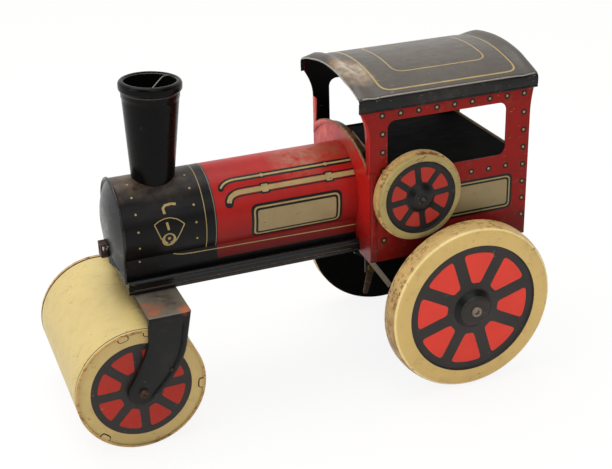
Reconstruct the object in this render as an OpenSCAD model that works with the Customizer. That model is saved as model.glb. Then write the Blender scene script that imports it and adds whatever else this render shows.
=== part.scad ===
// Lithographed tinplate toy road roller with a clockwork drive.
// +X is forward, +Y is the left side, +Z is up. The origin is on the ground below the middle of the toy.

/* [Sheet and fits] */
// Thickness of the tinplate
sheet = 0.5; // [0.35:0.05:0.7]
// Radial clearance of a shaft that turns in its hole
run_gap = 0.05; // [0.02:0.01:0.1]
// Clearance of pieces that fit together and stay put
seat_gap = 0.03; // [0.01:0.01:0.1]
// End clearance between a turning piece and its neighbour
side_gap = 0.3; // [0.2:0.05:0.5]

/* [Road wheels] */
// Radius of the front roller
roller_r = 25.6; // [23:0.1:27]
// Length of the front roller
roller_len = 71.8; // [60:0.1:76]
// Radius of the rear wheels
rear_r = 36.2; // [32:0.1:39]
// Width of a rear wheel across its tread
rear_w = 9; // [7:0.1:11]
// Distance between the inner faces of the rear wheels
rear_gauge = 78; // [76:0.1:84]
// Radius of the rear axle
axle_r = 1.5; // [1.2:0.05:2]

/* [Boiler and chimney] */
// Height of the boiler axis above the ground
boiler_z = 80.2; // [79:0.1:84]
// Outer radius of the boiler
boiler_r = 18; // [16:0.1:19]
// Width of the neck between the boiler and the chassis
neck_w = 30; // [26:0.1:31]
// Height of the neck below the boiler
neck_h = 1.3; // [1:0.1:3]
// Length of the boiler ahead of the cab
boiler_len = 95.8; // [88:0.1:104]
// How far the front plate of the smokebox bulges
dome_h = 4.4; // [2:0.1:6]
// Radius of the rolled rim round the front plate
rim_r = 0.6; // [0.5:0.05:1]
// Distance of the chimney behind the front plate
chimney_back = 16.8; // [14:0.1:26]
// Height of the chimney mouth above the boiler axis
chimney_h = 56; // [45:0.1:65]
// Outer radius of the chimney at its foot
chimney_foot_r = 8.1; // [7:0.1:10]
// Outer radius of the chimney below its rim
chimney_top_r = 11.4; // [10:0.1:14]
// Height of the rolled rim of the chimney
chimney_rim_h = 3.2; // [2:0.1:4.5]
// Backward rake of the chimney in degrees
chimney_rake = 3; // [0:0.5:6]

/* [Chassis] */
// Width of the chassis across its sides
chassis_w = 35.4; // [32:0.1:40]
// Depth of the chassis sides below its deck
chassis_depth = 4; // [3.4:0.1:5]
// Radius of the bead along the deck edges
bead_r = 1.2; // [0.8:0.05:1.5]
// Radius of the bearing ear round the rear axle
ear_r = 6.5; // [5:0.1:8]
// Reach of the pull hook ahead of the front plate
hook_reach = 6.9; // [5:0.1:9]
// Width of the pull hook
hook_w = 5; // [3:0.1:7]

/* [Fork] */
// Distance of the king pin behind the front plate
king_back = 9.9; // [8:0.1:14]
// Distance of the king pin behind the roller axle
fork_trail = 12.8; // [10:0.1:16]
// Width of the fork crown along the toy
crown_w = 16.6; // [14:0.1:18]
// Thickness of the fork plate
fork_t = 0.7; // [0.5:0.05:0.9]
// Depth of the turned edge round the fork arms
fork_lip = 1.6; // [1:0.1:2]
// Radius of the lower end of a fork arm
fork_end_r = 5.8; // [5:0.1:7]
// How far the fork arms lean forward below the crown
fork_rake = 2.6; // [1:0.1:4]
// Radius of the roller axle
roller_axle_r = 1.3; // [1:0.05:1.6]
// Radius of the king pin
king_r = 1.6; // [1.3:0.05:2]

/* [Cab] */
// Distance of the cab front ahead of the rear axle
cab_lead = 37.6; // [36:0.1:40]
// Length of the cab
cab_len = 70.5; // [68:0.1:72]
// Width of the cab
cab_w = 59.4; // [56:0.1:64]
// Height of the cab sides
cab_h = 69.8; // [66:0.1:74]
// How far the cab sides hang below the floor
cab_skirt = 4.4; // [3:0.1:5.5]
// Height of the window sill above the bottom of the sides
sill_h = 37.1; // [36:0.1:40]
// Height of the side windows
window_h = 22.3; // [18:0.1:24]
// Width of the front pillar
front_pillar = 7.4; // [6:0.1:9]
// Width of the rear pillar
rear_pillar = 10.9; // [8:0.1:12]
// Corner radius of the side windows
window_r = 3.4; // [2:0.1:5]
// Height of the arched front wall above the sill
arch_h = 11.6; // [8:0.1:14]
// Distance of the rear wall ahead of the rear edge of the sides
rear_inset = 3.1; // [2.5:0.1:4]

/* [Roof] */
// Length of the roof
roof_len = 76.5; // [75:0.1:80]
// Width of the roof
roof_w = 61.4; // [61:0.1:66]
// Radius of the underside of the roof
roof_r = 77.9; // [65:0.1:95]
// Depth of the roof edges along the sides
eaves = 5.4; // [4:0.1:7]
// How far the roof stands ahead of the cab
roof_lead = 4.2; // [3.2:0.1:5]

/* [Flywheel] */
// Distance of the flywheel ahead of the rear axle
fly_lead = 18.5; // [16:0.1:21]
// Height of the flywheel above the rear axle
fly_rise = 48; // [46.5:0.1:49]
// Radius of the flywheel
fly_r = 18.6; // [17:0.1:19]
// Width of the flywheel
fly_w = 5.2; // [4:0.1:5.4]
// Radius of the flywheel shaft
fly_shaft_r = 1.1; // [0.9:0.05:1.3]

/* [Clockwork] */
// Module of the gears
gear_m = 1.25; // [1.25:0.01:1.28]
// Thickness of the gears
gear_t = 2; // [1.5:0.1:2.4]
// Distance between the clockwork plates, over their outer faces
motor_w = 27; // [26:0.1:28]
// Thickness of the clockwork plates
plate_t = 0.8; // [0.6:0.05:1]
// Radius of the winding arbor
arbor_r = 1.5; // [1.2:0.05:1.7]
// Span of the winding key over its wings
key_span = 26; // [20:0.1:28]

/* [Hidden] */
$fn = 64;
// A length that cutters overshoot by
cut = 1;

// Where the axles and the main planes lie
wheel_base = cab_lead + boiler_len - king_back + fork_trail;
rear_x = -(wheel_base + roller_r - rear_r) / 2;
roller_x = rear_x + wheel_base;
cab_front_x = rear_x + cab_lead;
cab_rear_x = cab_front_x - cab_len;
front_x = cab_front_x + boiler_len;
king_x = front_x - king_back;
chimney_x = front_x - chimney_back;

// The deck carries the boiler on its neck, and the sides hang from it
deck_z = boiler_z - boiler_r - neck_h;
chassis_bottom = deck_z - chassis_depth;
chassis_y = chassis_w / 2;
panel_x = front_x + sheet;

// Pull hook in the front plate
hook_t = 0.8;
hook_h = 5.6;
hook_curl = 2.6;
hook_z = boiler_z - 0.7 * boiler_r;
hook_hole_r = 1.1;

// The fork turns below the chassis
crown_gap = 0.4;
crown_top = chassis_bottom - crown_gap;
crown_bottom = crown_top - fork_t;
arm_in = roller_len / 2 + side_gap + fork_lip;
arm_out = arm_in + fork_t;
rivet_head_t = 0.8;
rivet_head_r = 1.7 * king_r;
roller_tabs = 3;

// The cab stands on its floor
floor_top = deck_z + sheet;
cab_bottom = deck_z - cab_skirt;
cab_y = cab_w / 2;
cab_in = cab_y - sheet;
sill_z = cab_bottom + sill_h;
window_top = sill_z + window_h;
cab_top = cab_bottom + cab_h;
rear_wall_x = cab_rear_x + rear_inset;
tray_bottom = sill_z - 1.1;
rear_roll_r = 0.8;
flare = roof_lead - sheet - 2 * seat_gap;
flare_rear = 1.2;
flare_h = 17;
corner_fold = 1.6;

// The roof rests on the top corners of the sides
roof_axis = cab_top + seat_gap - sqrt(pow(roof_r, 2) - pow(cab_y, 2));
roof_y = roof_w / 2;
roof_front = cab_front_x + roof_lead;
roof_rear = roof_front - roof_len;
roof_lip = 1.6;
eaves_bottom = roof_axis + sqrt(pow(roof_r, 2) - pow(roof_y, 2)) - eaves;

// Gear train: axle pinion, second wheel, flywheel pinion, and the great wheel on the spring arbor
axle_teeth = 14;
second_teeth = 29;
fly_teeth = 11;
small_teeth = 10;
great_teeth = 24;
axle_c = [rear_x, rear_r];
fly_c = [rear_x + fly_lead, rear_r + fly_rise];
axle_second = gear_m * (axle_teeth + second_teeth) / 2;
fly_second = gear_m * (fly_teeth + second_teeth) / 2;
great_second = gear_m * (great_teeth + small_teeth) / 2;
great_dir = 140;
train_len = norm(fly_c - axle_c);
train_dir = heading(axle_c, fly_c);
second_bend = acos((pow(axle_second, 2) + pow(train_len, 2) - pow(fly_second, 2))
    / (2 * axle_second * train_len));
second_c = axle_c + axle_second * heading_vec(train_dir - second_bend);
great_c = second_c + great_second * heading_vec(great_dir);
tip = 0.8 * gear_m;
root = 1.05 * gear_m;

// Layers of the clockwork across the toy
plate_y = motor_w / 2;
plate_in = plate_y - plate_t;
second_y = 4;
great_y = -2.4;
spring_w = 6;
spring_y = great_y - side_gap - spring_w;
spring_r = 14;
spring_turns = 6;
spring_t = 0.4;
collar = 1;

// Clockwork plates and the opening in the deck and floor that they hang through
pillar_r = 1.5;
pillar_end_r = 1;
plate_edge = 1.7 * pillar_r;
pillars = [
    second_c + gear_m * [16.8, 6.4],
    fly_c + gear_m * [8.8, 2.4],
    great_c + gear_m * [-13.6, -8],
    second_c + gear_m * [-16, -10.4]
];
bay_front = second_c[0] + gear_m * second_teeth / 2 + tip + collar;
bay_rear = great_c[0] - 0.35 * gear_m * great_teeth - collar;
bay_y = plate_y + collar;

// Stop lever on the left plate and winding key on the right side of the cab
lever_c = second_c + gear_m * [14, -10.8];
lever_t = 0.8;
lever_y = plate_y + side_gap / 3;
lever_len = 11.5;
lever_w = 3.2;
lever_dir = -76;
key_stem_r = 2.6;
key_in = cab_y + side_gap;
key_stem = 4;
key_t = 1.2;

// Wheels
shoulder_r = 2.4;
lip_w = 3;
fly_shoulder_r = 1.5;
fly_lip_w = 1.6;
dish = 0.9;
rear_dish_r = 0.765 * rear_r;
fly_dish_r = 0.785 * fly_r;
boss_r = 8.6;
boss_top_r = 5.2;
boss_h = 2.4;
fly_boss_r = 5.8;
fly_boss_top_r = 3;
fly_boss_h = 2;
hub_r = 2.2;
hub_t = 0.9;
hub_hole_r = 0.9;
rear_in = rear_gauge / 2;
rear_out = rear_in + rear_w;
hub_y = rear_out + boss_h;
fly_in = cab_y + 1;
fly_hub_y = fly_in + fly_w + fly_boss_h;
fly_pin = 2;

black = "#1c1b1c";
red = "#a8211f";
cream = "#cdbb77";
tin = "#9b958a";
brass = "#b08d3f";

// Angle and unit vector of a direction in the side view
function heading(a, b) = atan2(b[1] - a[1], b[0] - a[0]);
function heading_vec(a) = [cos(a), sin(a)];
// Points of a curve from a to c, drawn towards b
function curve(a, b, c, n = 8) = [for (i = [0:n]) let (t = i / n)
    pow(1 - t, 2) * a + 2 * t * (1 - t) * b + pow(t, 2) * c];
// Turn of a gear b that meshes with gear a, when a has a tooth at angle turn_a
function mesh_turn(ca, cb, na, nb, turn_a) = let (
    line = heading(ca, cb),
    off = (line - turn_a) - (360 / na) * floor((line - turn_a) / (360 / na)))
    line + 180 + off * na / nb + 180 / nb;

// Extrudes a side view outline from y0 to y1
module across(y0, y1) {
    rotate([90, 0, 0]) translate([0, 0, -y1]) linear_extrude(y1 - y0) children();
}

// Extrudes a front view outline from x0 to x1
module along(x0, x1) {
    rotate([90, 0, 90]) translate([0, 0, x0]) linear_extrude(x1 - x0) children();
}

// Turns a profile of radius and height about an axis across the toy
module turn_y(c) {
    translate([c[0], 0, c[1]]) rotate([-90, 0, 0]) rotate_extrude() children();
}

// Turns a profile of radius and height about the boiler axis
module turn_x() {
    translate([0, 0, boiler_z]) rotate([0, 90, 0]) rotate_extrude() children();
}

// A round bar across the toy
module bar(c, r, y0, y1) {
    across(y0, y1) translate(c) circle(r);
}

module block(x0, x1, y0, y1, z0, z1) {
    translate([x0, y0, z0]) cube([x1 - x0, y1 - y0, z1 - z0]);
}

// Side view of a plate with round corners
module round_rect(x0, x1, z0, z1, r) {
    translate([x0 + r, z0]) square([x1 - x0 - 2 * r, z1 - z0]);
    translate([x0, z0 + r]) square([x1 - x0, z1 - z0 - 2 * r]);
    for (x = [x0 + r, x1 - r], z = [z0 + r, z1 - r]) translate([x, z]) circle(r);
}

// Gear outline with one tooth at angle 0; slim teeth leave play in the mesh
module gear_outline(n) {
    pitch_r = gear_m * n / 2;
    step = 360 / n;
    polygon([for (i = [0:n - 1], p = [[pitch_r - root, -0.27], [pitch_r + tip, -0.1],
                                      [pitch_r + tip, 0.1], [pitch_r - root, 0.27]])
        p[0] * heading_vec((i + p[1]) * step)]);
}

module gear(c, n, y, turn, bore, t = gear_t) {
    across(y, y + t) translate(c) difference() {
        rotate(turn) gear_outline(n);
        circle(bore);
    }
}

// Half section of a wheel body with round shoulders, from the axis out to r
module wheel_section(r, w, s) {
    square([r - s, w]);
    translate([0, s]) square([r, w - 2 * s]);
    for (h = [s, w - s]) translate([r - s, h]) circle(s);
}

// Section of a hollow pressed wheel with a dished face and a raised boss, open at the back inside its lip
module wheel_pressing(r, w, s, lip, dish_r, foot_r, top_r, rise, bore) {
    disc = w - dish;
    difference() {
        union() {
            difference() {
                wheel_section(r, w, s);
                dish_section(dish_r, disc, w + cut);
            }
            polygon([[0, disc - sheet], [foot_r, disc - sheet], [foot_r, disc],
                     [top_r, w + rise], [0, w + rise]]);
        }
        difference() {
            translate([0, sheet]) wheel_section(r - sheet, w - 2 * sheet, s - sheet);
            dish_section(dish_r + sheet, disc - sheet, w);
        }
        polygon([[0, disc - 2 * sheet], [foot_r - sheet, disc - 2 * sheet], [foot_r - sheet, disc - sheet],
                 [top_r, w + rise - sheet], [0, w + rise - sheet]]);
        translate([0, -cut]) square([r - lip, cut + 2 * sheet]);
        translate([0, -cut]) square([bore, w + rise + 2 * cut]);
        translate([-r, -cut]) square([r, w + rise + 2 * cut]);
    }
}

// Space inside the dished face of a wheel, a little wider at its mouth
module dish_section(r, low, high) {
    polygon([[0, low], [r, low], [r + (high - low) / 2, high], [0, high]]);
}

// Section of the disc that closes the back of a wheel, with a collar on the shaft
module wheel_disc(r, bore, collar_r, collar_h) {
    difference() {
        union() {
            square([r, sheet]);
            square([collar_r, collar_h]);
        }
        translate([-cut, -cut]) square([bore + cut, collar_h + 2 * cut]);
    }
}

// Side view of the chassis sides: a shallow edge that deepens to the rear axle
module chassis_side() {
    ear_front = cab_front_x - 0.5;
    difference() {
        union() {
            polygon(concat(
                [[panel_x, deck_z], [panel_x, chassis_bottom], [ear_front, chassis_bottom],
                 [rear_x + 24, rear_r + 1], [rear_x + ear_r + 8, rear_r - ear_r + 1]],
                [[rear_x, rear_r - ear_r], [rear_x - ear_r - 4, rear_r - 2],
                 [rear_wall_x + 4, chassis_bottom], [rear_wall_x, chassis_bottom], [rear_wall_x, deck_z]]));
            translate(axle_c) circle(ear_r);
        }
        translate(axle_c) circle(axle_r + run_gap);
    }
}

module chassis() {
    bead_rear = cab_front_x + side_gap;
    bead_rise = 0.6;
    color(black) difference() {
        union() {
            block(rear_wall_x, panel_x, -chassis_y, chassis_y, deck_z - sheet, deck_z);
            for (side = [-1, 1]) {
                across(side * chassis_y - (side > 0 ? sheet : 0), side * chassis_y + (side > 0 ? 0 : sheet))
                    chassis_side();
                along(bead_rear, panel_x) translate([side * (chassis_y - sheet / 2), 0]) {
                    translate([-sheet / 2, deck_z - sheet]) square([sheet, sheet + bead_rise]);
                    translate([0, deck_z + bead_rise]) circle(bead_r);
                    translate([0, chassis_bottom + bead_r]) circle(bead_r / 2);
                }
            }
            block(front_x, panel_x, -chassis_y, chassis_y, chassis_bottom, deck_z);
        }
        block(bay_rear, bay_front, -bay_y, bay_y, deck_z - sheet - cut, deck_z + cut);
        translate([king_x, 0, deck_z - sheet - cut]) cylinder(r = king_r + seat_gap, h = sheet + 2 * cut);
    }
}

// Front view of the boiler: round, with a neck that stands on the deck
module boiler_outline(grow) {
    neck = neck_w / 2 + grow;
    translate([0, boiler_z]) circle(boiler_r + grow);
    translate([-neck, deck_z]) square([2 * neck, boiler_z - deck_z - boiler_r / 2]);
}

module boiler() {
    color(red) along(cab_front_x - sheet, front_x) difference() {
        boiler_outline(0);
        boiler_outline(-sheet);
        translate([sheet - neck_w / 2, deck_z - cut]) square([neck_w - 2 * sheet, 2 * cut]);
    }
}

// Domed front plate with a rolled rim, and a flat panel below it down to the deck
module smokebox_front() {
    dome_r = boiler_r - sheet;
    sphere_r = (pow(dome_r, 2) + pow(dome_h, 2)) / (2 * dome_h);
    color(black) difference() {
        union() {
            translate([front_x, 0, 0]) turn_x() {
                translate([boiler_r, rim_r]) circle(rim_r);
                translate([dome_r - sheet, 0]) square([boiler_r - dome_r + sheet, sheet]);
                intersection() {
                    difference() {
                        translate([0, dome_h - sphere_r]) circle(sphere_r, $fn = 128);
                        translate([0, dome_h - sheet - sphere_r]) circle(sphere_r, $fn = 128);
                    }
                    square([dome_r, dome_h + cut]);
                }
            }
            along(front_x, panel_x) difference() {
                translate([-neck_w / 2 - sheet, deck_z])
                    square([neck_w + 2 * sheet, boiler_z - deck_z - boiler_r / 2]);
                translate([0, boiler_z]) circle(dome_r);
            }
        }
        block(front_x - cut, front_x + dome_h + cut, -hook_w / 2 - seat_gap, hook_w / 2 + seat_gap,
              hook_z - seat_gap, hook_z + hook_t + seat_gap);
    }
}

// A tongue through the front plate with its end turned up and back
module pull_hook() {
    tongue_x = front_x + 0.2;
    end_x = front_x + hook_reach;
    color(tin) difference() {
        union() {
            block(tongue_x, end_x, -hook_w / 2, hook_w / 2, hook_z, hook_z + hook_t);
            block(end_x - hook_t, end_x, -hook_w / 2, hook_w / 2, hook_z, hook_z + hook_h);
            block(end_x - hook_curl, end_x, -hook_w / 2, hook_w / 2,
                  hook_z + hook_h - hook_t, hook_z + hook_h);
        }
        translate([end_x - hook_t - cut, 0, hook_z + 0.62 * hook_h]) rotate([0, 90, 0])
            cylinder(r = hook_hole_r, h = hook_t + 2 * cut);
    }
}

module chimney() {
    foot = -boiler_r * 0.3;
    low = chimney_h - boiler_r - chimney_rim_h;
    neck = low + chimney_rim_h / 2;
    color(black) difference() {
        translate([chimney_x, 0, boiler_z + boiler_r]) rotate([0, -chimney_rake, 0]) rotate_extrude() {
            polygon([[chimney_foot_r - sheet, foot], [chimney_foot_r, foot], [chimney_top_r, neck],
                     [chimney_top_r - sheet, neck]]);
            difference() {
                translate([chimney_top_r - sheet, low]) rim_section();
                translate([0, low - cut]) square([chimney_top_r - sheet, chimney_rim_h + 2 * cut]);
            }
        }
        along(cab_front_x, front_x + cut) translate([0, boiler_z]) circle(boiler_r + seat_gap);
    }
}

// Rolled rim of the chimney, flat inside and round outside
module rim_section() {
    round_r = 0.9;
    width = sheet + round_r;
    square([width - round_r, chimney_rim_h]);
    translate([0, round_r]) square([width, chimney_rim_h - 2 * round_r]);
    for (h = [round_r, chimney_rim_h - round_r]) translate([width - round_r, h]) circle(round_r);
}

// Spacer that holds the deck above the fork crown
module king_bush() {
    color(tin) translate([king_x, 0, crown_top + side_gap / 3]) difference() {
        cylinder(r = 2.6 * king_r, h = deck_z - sheet - crown_top - side_gap / 3);
        translate([0, 0, -cut]) cylinder(r = king_r + seat_gap, h = chassis_depth + crown_gap + 2 * cut);
    }
}

module king_pin() {
    low = crown_bottom - side_gap / 3;
    color(tin) translate([king_x, 0, 0]) {
        translate([0, 0, low]) cylinder(r = king_r, h = deck_z - low);
        translate([0, 0, low - rivet_head_t]) cylinder(r = rivet_head_r, h = rivet_head_t);
        translate([0, 0, deck_z]) cylinder(r = rivet_head_r, h = rivet_head_t);
    }
}

// Front wall of the cab, arched over the boiler and cut out over the chassis
module cab_front() {
    half = cab_in - seat_gap;
    arch_r = (pow(half, 2) + pow(arch_h, 2)) / (2 * arch_h);
    arch_z = sill_z + arch_h - arch_r;
    lip_depth = 2.6;
    color(red) difference() {
        union() {
            along(cab_front_x - sheet, cab_front_x) {
                translate([-half, cab_bottom]) square([2 * half, sill_z - cab_bottom]);
                intersection() {
                    translate([0, arch_z]) circle(arch_r, $fn = 128);
                    translate([-half, sill_z - cut]) square([2 * half, arch_h + 2 * cut]);
                }
            }
            along(cab_front_x - lip_depth, cab_front_x) intersection() {
                translate([0, arch_z]) difference() {
                    circle(arch_r, $fn = 128);
                    circle(arch_r - sheet, $fn = 128);
                }
                translate([-half, sill_z]) square([2 * half, arch_h + cut]);
            }
        }
        along(cab_front_x - 2 * lip_depth, cab_front_x + cut) {
            boiler_outline(seat_gap);
            translate([-chassis_y - bead_r - seat_gap, cab_bottom - cut])
                square([2 * (chassis_y + bead_r + seat_gap), floor_top + seat_gap - cab_bottom + cut]);
        }
    }
}

// Side view of a cab side, with pillars that flare to the ends of the roof below its eaves
module cab_side_outline() {
    low = cab_top - flare_h;
    bend = (low + eaves_bottom) / 2;
    difference() {
        polygon(concat(
            [[cab_rear_x, cab_bottom], [cab_front_x, cab_bottom]],
            curve([cab_front_x, low], [cab_front_x, bend], [cab_front_x + flare, eaves_bottom]),
            [[cab_front_x + flare, cab_top], [cab_rear_x - flare_rear, cab_top]],
            curve([cab_rear_x - flare_rear, eaves_bottom], [cab_rear_x, bend], [cab_rear_x, low])));
        round_rect(cab_rear_x + rear_pillar, cab_front_x - front_pillar, sill_z, window_top, window_r);
    }
}

// A cab side: its plate, and the front edge folded in above the front wall
module cab_side(side) {
    inner = side > 0 ? cab_in : -cab_y;
    fold_in = side > 0 ? cab_in - corner_fold : -cab_in;
    across(inner, inner + sheet) cab_side_outline();
    block(cab_front_x - sheet, cab_front_x, fold_in, fold_in + corner_fold,
          sill_z + arch_h, cab_top - flare_h);
}

module cab_side_left() {
    color(red) difference() {
        cab_side(1);
        bar(fly_c, fly_shaft_r + run_gap, cab_in - cut, cab_y + cut);
    }
}

module cab_side_right() {
    color(red) difference() {
        cab_side(-1);
        bar(great_c, arbor_r + run_gap, -cab_y - cut, -cab_in + cut);
    }
}

// Rear wall of the cab, up to the sill, with its top edge rolled
module cab_rear() {
    half = cab_in - seat_gap;
    color(black) {
        block(rear_wall_x, rear_wall_x + sheet, -half, half, floor_top, sill_z - rear_roll_r);
        bar([rear_wall_x + sheet / 2, sill_z - rear_roll_r], rear_roll_r, -half, half);
    }
}

module cab_floor() {
    half = cab_in - seat_gap;
    color(black) difference() {
        block(rear_wall_x, cab_front_x - sheet - seat_gap, -half, half, deck_z, floor_top);
        block(bay_rear, bay_front, -bay_y, bay_y, deck_z - cut, floor_top + cut);
    }
}

// Tray under the windows that covers the clockwork
module cab_tray() {
    half = cab_in - seat_gap;
    rear = rear_wall_x + sheet / 2 + rear_roll_r + seat_gap;
    color(black) block(rear, cab_front_x - sheet - seat_gap, -half, half, tray_bottom, tray_bottom + sheet);
}

// Arched roof with deep eaves and turned down ends
module roof() {
    color(black) {
        along(roof_rear, roof_front) roof_arc(sheet);
        along(roof_rear, roof_rear + sheet) roof_arc(sheet + roof_lip);
        along(roof_front - sheet, roof_front) roof_arc(sheet + roof_lip);
        for (side = [-1, 1]) {
            low = side > 0 ? roof_y - sheet : -roof_y;
            block(roof_rear, roof_front, low, low + sheet, eaves_bottom, eaves_bottom + eaves);
        }
    }
}

// Front view of the roof arch, with its depth measured in from the outside
module roof_arc(depth) {
    intersection() {
        translate([0, roof_axis]) difference() {
            circle(roof_r + sheet, $fn = 128);
            circle(roof_r + sheet - depth, $fn = 128);
        }
        translate([-roof_y, eaves_bottom]) square([2 * roof_y, roof_r]);
    }
}

// Side view of a clockwork plate: ears rest on the floor, the rest hangs through the bay
module motor_plate_outline() {
    ear_front = pillars[0][0] + plate_edge;
    ear_rear = pillars[2][0] - pillar_r;
    ear_low = floor_top + plate_edge;
    hang_front = bay_front - seat_gap;
    hang_rear = pillars[3][0] - plate_edge;
    foot = lever_c[1] - plate_edge;
    difference() {
        polygon([[ear_front, floor_top], [ear_front, max(pillars[0][1], ear_low) + plate_edge],
                 [pillars[1][0] + plate_edge, tray_bottom], [great_c[0], tray_bottom],
                 [ear_rear, max(pillars[2][1], ear_low) + plate_edge], [ear_rear, floor_top],
                 [hang_rear, floor_top], [hang_rear, pillars[3][1] - plate_edge],
                 [second_c[0], foot + plate_edge], [lever_c[0] - 3 * plate_edge, foot],
                 [hang_front, foot], [hang_front, floor_top]]);
        for (p = pillars) translate(p) circle(pillar_end_r + seat_gap);
        translate(fly_c) circle(fly_shaft_r + run_gap);
        translate(great_c) circle(arbor_r + run_gap);
        translate(second_c) circle(fly_shaft_r + run_gap);
        translate(lever_c) circle(pillar_end_r + seat_gap);
    }
}

module motor_plate_left() {
    color(tin) across(plate_in, plate_y) motor_plate_outline();
}

module motor_plate_right() {
    color(tin) across(-plate_y, -plate_in) motor_plate_outline();
}

// Shouldered pillars that hold the two plates apart
module motor_pillars() {
    color(tin) for (p = pillars) {
        bar(p, pillar_r, -plate_in, plate_in);
        bar(p, pillar_end_r, -plate_y - rivet_head_t / 2, plate_y + rivet_head_t / 2);
    }
}

// Flat spring wound round the arbor, with its outer end hooked on a pillar
module mainspring() {
    inner = arbor_r + side_gap;
    steps = 20;
    rise = (spring_r - inner) / spring_turns;
    hook = pillars[2] - great_c;
    hook_dir = heading([0, 0], hook);
    last = spring_turns * steps;
    radius = [for (i = [0:last]) inner + rise * i / steps];
    angle = [for (i = [0:last]) hook_dir + 360 * (i - last) / steps];
    end_r = norm(hook) - pillar_r - seat_gap;
    out = heading_vec(hook_dir);
    side = spring_t * heading_vec(hook_dir - 90);
    color("#5d6066") across(spring_y, spring_y + spring_w) translate(great_c) polygon(concat(
        [for (i = [0:last]) radius[i] * heading_vec(angle[i])],
        [end_r * out, end_r * out + side, (spring_r + spring_t) * out + side],
        [for (i = [last - 1:-1:0]) (radius[i] + spring_t) * heading_vec(angle[i])]));
}

module lever_rivet() {
    head_y = lever_y + lever_t + side_gap / 3;
    color(brass) {
        bar(lever_c, pillar_end_r, plate_in, head_y);
        bar(lever_c, 2 * pillar_end_r, head_y, head_y + rivet_head_t);
    }
}

// Stop lever that hangs from the left plate
module stop_lever() {
    end = lever_c + lever_len * heading_vec(lever_dir);
    across_dir = heading_vec(lever_dir + 90);
    color("#3a3330") across(lever_y, lever_y + lever_t) difference() {
        union() {
            polygon([lever_c + lever_w / 2 * across_dir, lever_c - lever_w / 2 * across_dir,
                     end - lever_w / 3 * across_dir, end + lever_w / 3 * across_dir]);
            translate(lever_c) circle(lever_w / 2 + 0.6);
            translate(end) circle(lever_w / 3);
        }
        translate(lever_c) circle(pillar_end_r + run_gap);
    }
}

// Side view of a fork arm: raked forward below the crown, then swept to the roller axle
module fork_arm_outline(inset) {
    axle = [roller_x, roller_r];
    front = king_x + crown_w / 2 - inset;
    rear = king_x - crown_w / 2 + inset;
    knee = crown_top - 10;
    end_r = fork_end_r - inset;
    front_end = axle + end_r * heading_vec(15);
    rear_end = axle + end_r * heading_vec(215);
    polygon(concat(
        [[rear, crown_top - inset], [front, crown_top - inset]],
        curve([front + fork_rake / 5, knee], [front + fork_rake, knee - 8], front_end),
        [axle],
        curve(rear_end, [rear + 2 * fork_rake, roller_r + fork_end_r], [rear + fork_rake, knee - 4])));
    translate(axle) circle(end_r);
}

// Bent plate fork: a crown across the roller and two dished arms
module fork() {
    axle = [roller_x, roller_r];
    crown_front = king_x + crown_w / 2;
    crown_rear = king_x - crown_w / 2;
    color(black) difference() {
        union() {
            block(crown_rear, crown_front, -arm_out, arm_out, crown_bottom, crown_top);
            for (side = [-1, 1]) {
                outer = side > 0 ? arm_in : -arm_out;
                rim = side > 0 ? arm_in - fork_lip : -arm_in;
                across(outer, outer + fork_t) fork_arm_outline(0);
                across(rim, rim + fork_lip) difference() {
                    fork_arm_outline(0);
                    fork_arm_outline(fork_t);
                }
            }
        }
        bar(axle, roller_axle_r + seat_gap, -arm_out - cut, arm_out + cut);
        translate([king_x, 0, crown_bottom - cut]) cylinder(r = king_r + run_gap, h = fork_t + 2 * cut);
    }
}

// Axle riveted into the fork arms
module roller_axle() {
    axle = [roller_x, roller_r];
    head_r = 1.4 * roller_axle_r;
    color(tin) {
        bar(axle, roller_axle_r, -arm_out, arm_out);
        for (y = [-arm_out - rivet_head_t, arm_out]) bar(axle, head_r, y, y + rivet_head_t);
    }
}

// Rolled drum with tabs folded over the ends
module roller_drum() {
    end_y = roller_len / 2 - sheet;
    tab_w = 4;
    tab_h = 2.4;
    color(cream) {
        across(-end_y, end_y) translate([roller_x, roller_r]) difference() {
            circle(roller_r);
            circle(roller_r - sheet);
        }
        for (y = [-roller_len / 2, end_y], i = [0:roller_tabs - 1])
            across(y, y + sheet) translate([roller_x, roller_r]) intersection() {
                circle(roller_r);
                rotate(72 + 360 / roller_tabs * i) translate([roller_r - tab_h, -tab_w / 2])
                    square([tab_h, tab_w]);
            }
    }
}

// End disc of the roller with a collar that turns on the axle
module roller_end(side) {
    collar_len = 5;
    face = roller_len / 2 - sheet;
    color(cream) turn_y([roller_x, roller_r]) mirror([0, side > 0 ? 0 : 1])
        translate([0, face]) mirror([0, 1])
        wheel_disc(roller_r - sheet - seat_gap, roller_axle_r + run_gap, roller_axle_r + 1.2, collar_len);
}

module roller_end_left() { roller_end(1); }

module roller_end_right() { roller_end(-1); }

module rear_axle() {
    color(tin) bar(axle_c, axle_r, -hub_y, hub_y);
}

module rear_wheel(side) {
    color(cream) turn_y(axle_c) mirror([0, side > 0 ? 0 : 1]) translate([0, rear_in])
        wheel_pressing(rear_r, rear_w, shoulder_r, lip_w, rear_dish_r, boss_r, boss_top_r, boss_h,
                       axle_r + seat_gap);
}

module rear_back(side) {
    color(black) turn_y(axle_c) mirror([0, side > 0 ? 0 : 1]) translate([0, rear_in])
        wheel_disc(rear_r - lip_w - seat_gap, axle_r + seat_gap, axle_r + 1.5, 3);
}

// Eyelet on the end of the axle
module rear_hub(side) {
    color(tin) turn_y(axle_c) mirror([0, side > 0 ? 0 : 1]) translate([hub_hole_r, hub_y])
        square([hub_r - hub_hole_r, hub_t]);
}

module rear_wheel_left() { rear_wheel(1); }

module rear_wheel_right() { rear_wheel(-1); }

module rear_back_left() { rear_back(1); }

module rear_back_right() { rear_back(-1); }

module rear_hub_left() { rear_hub(1); }

module rear_hub_right() { rear_hub(-1); }

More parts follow.
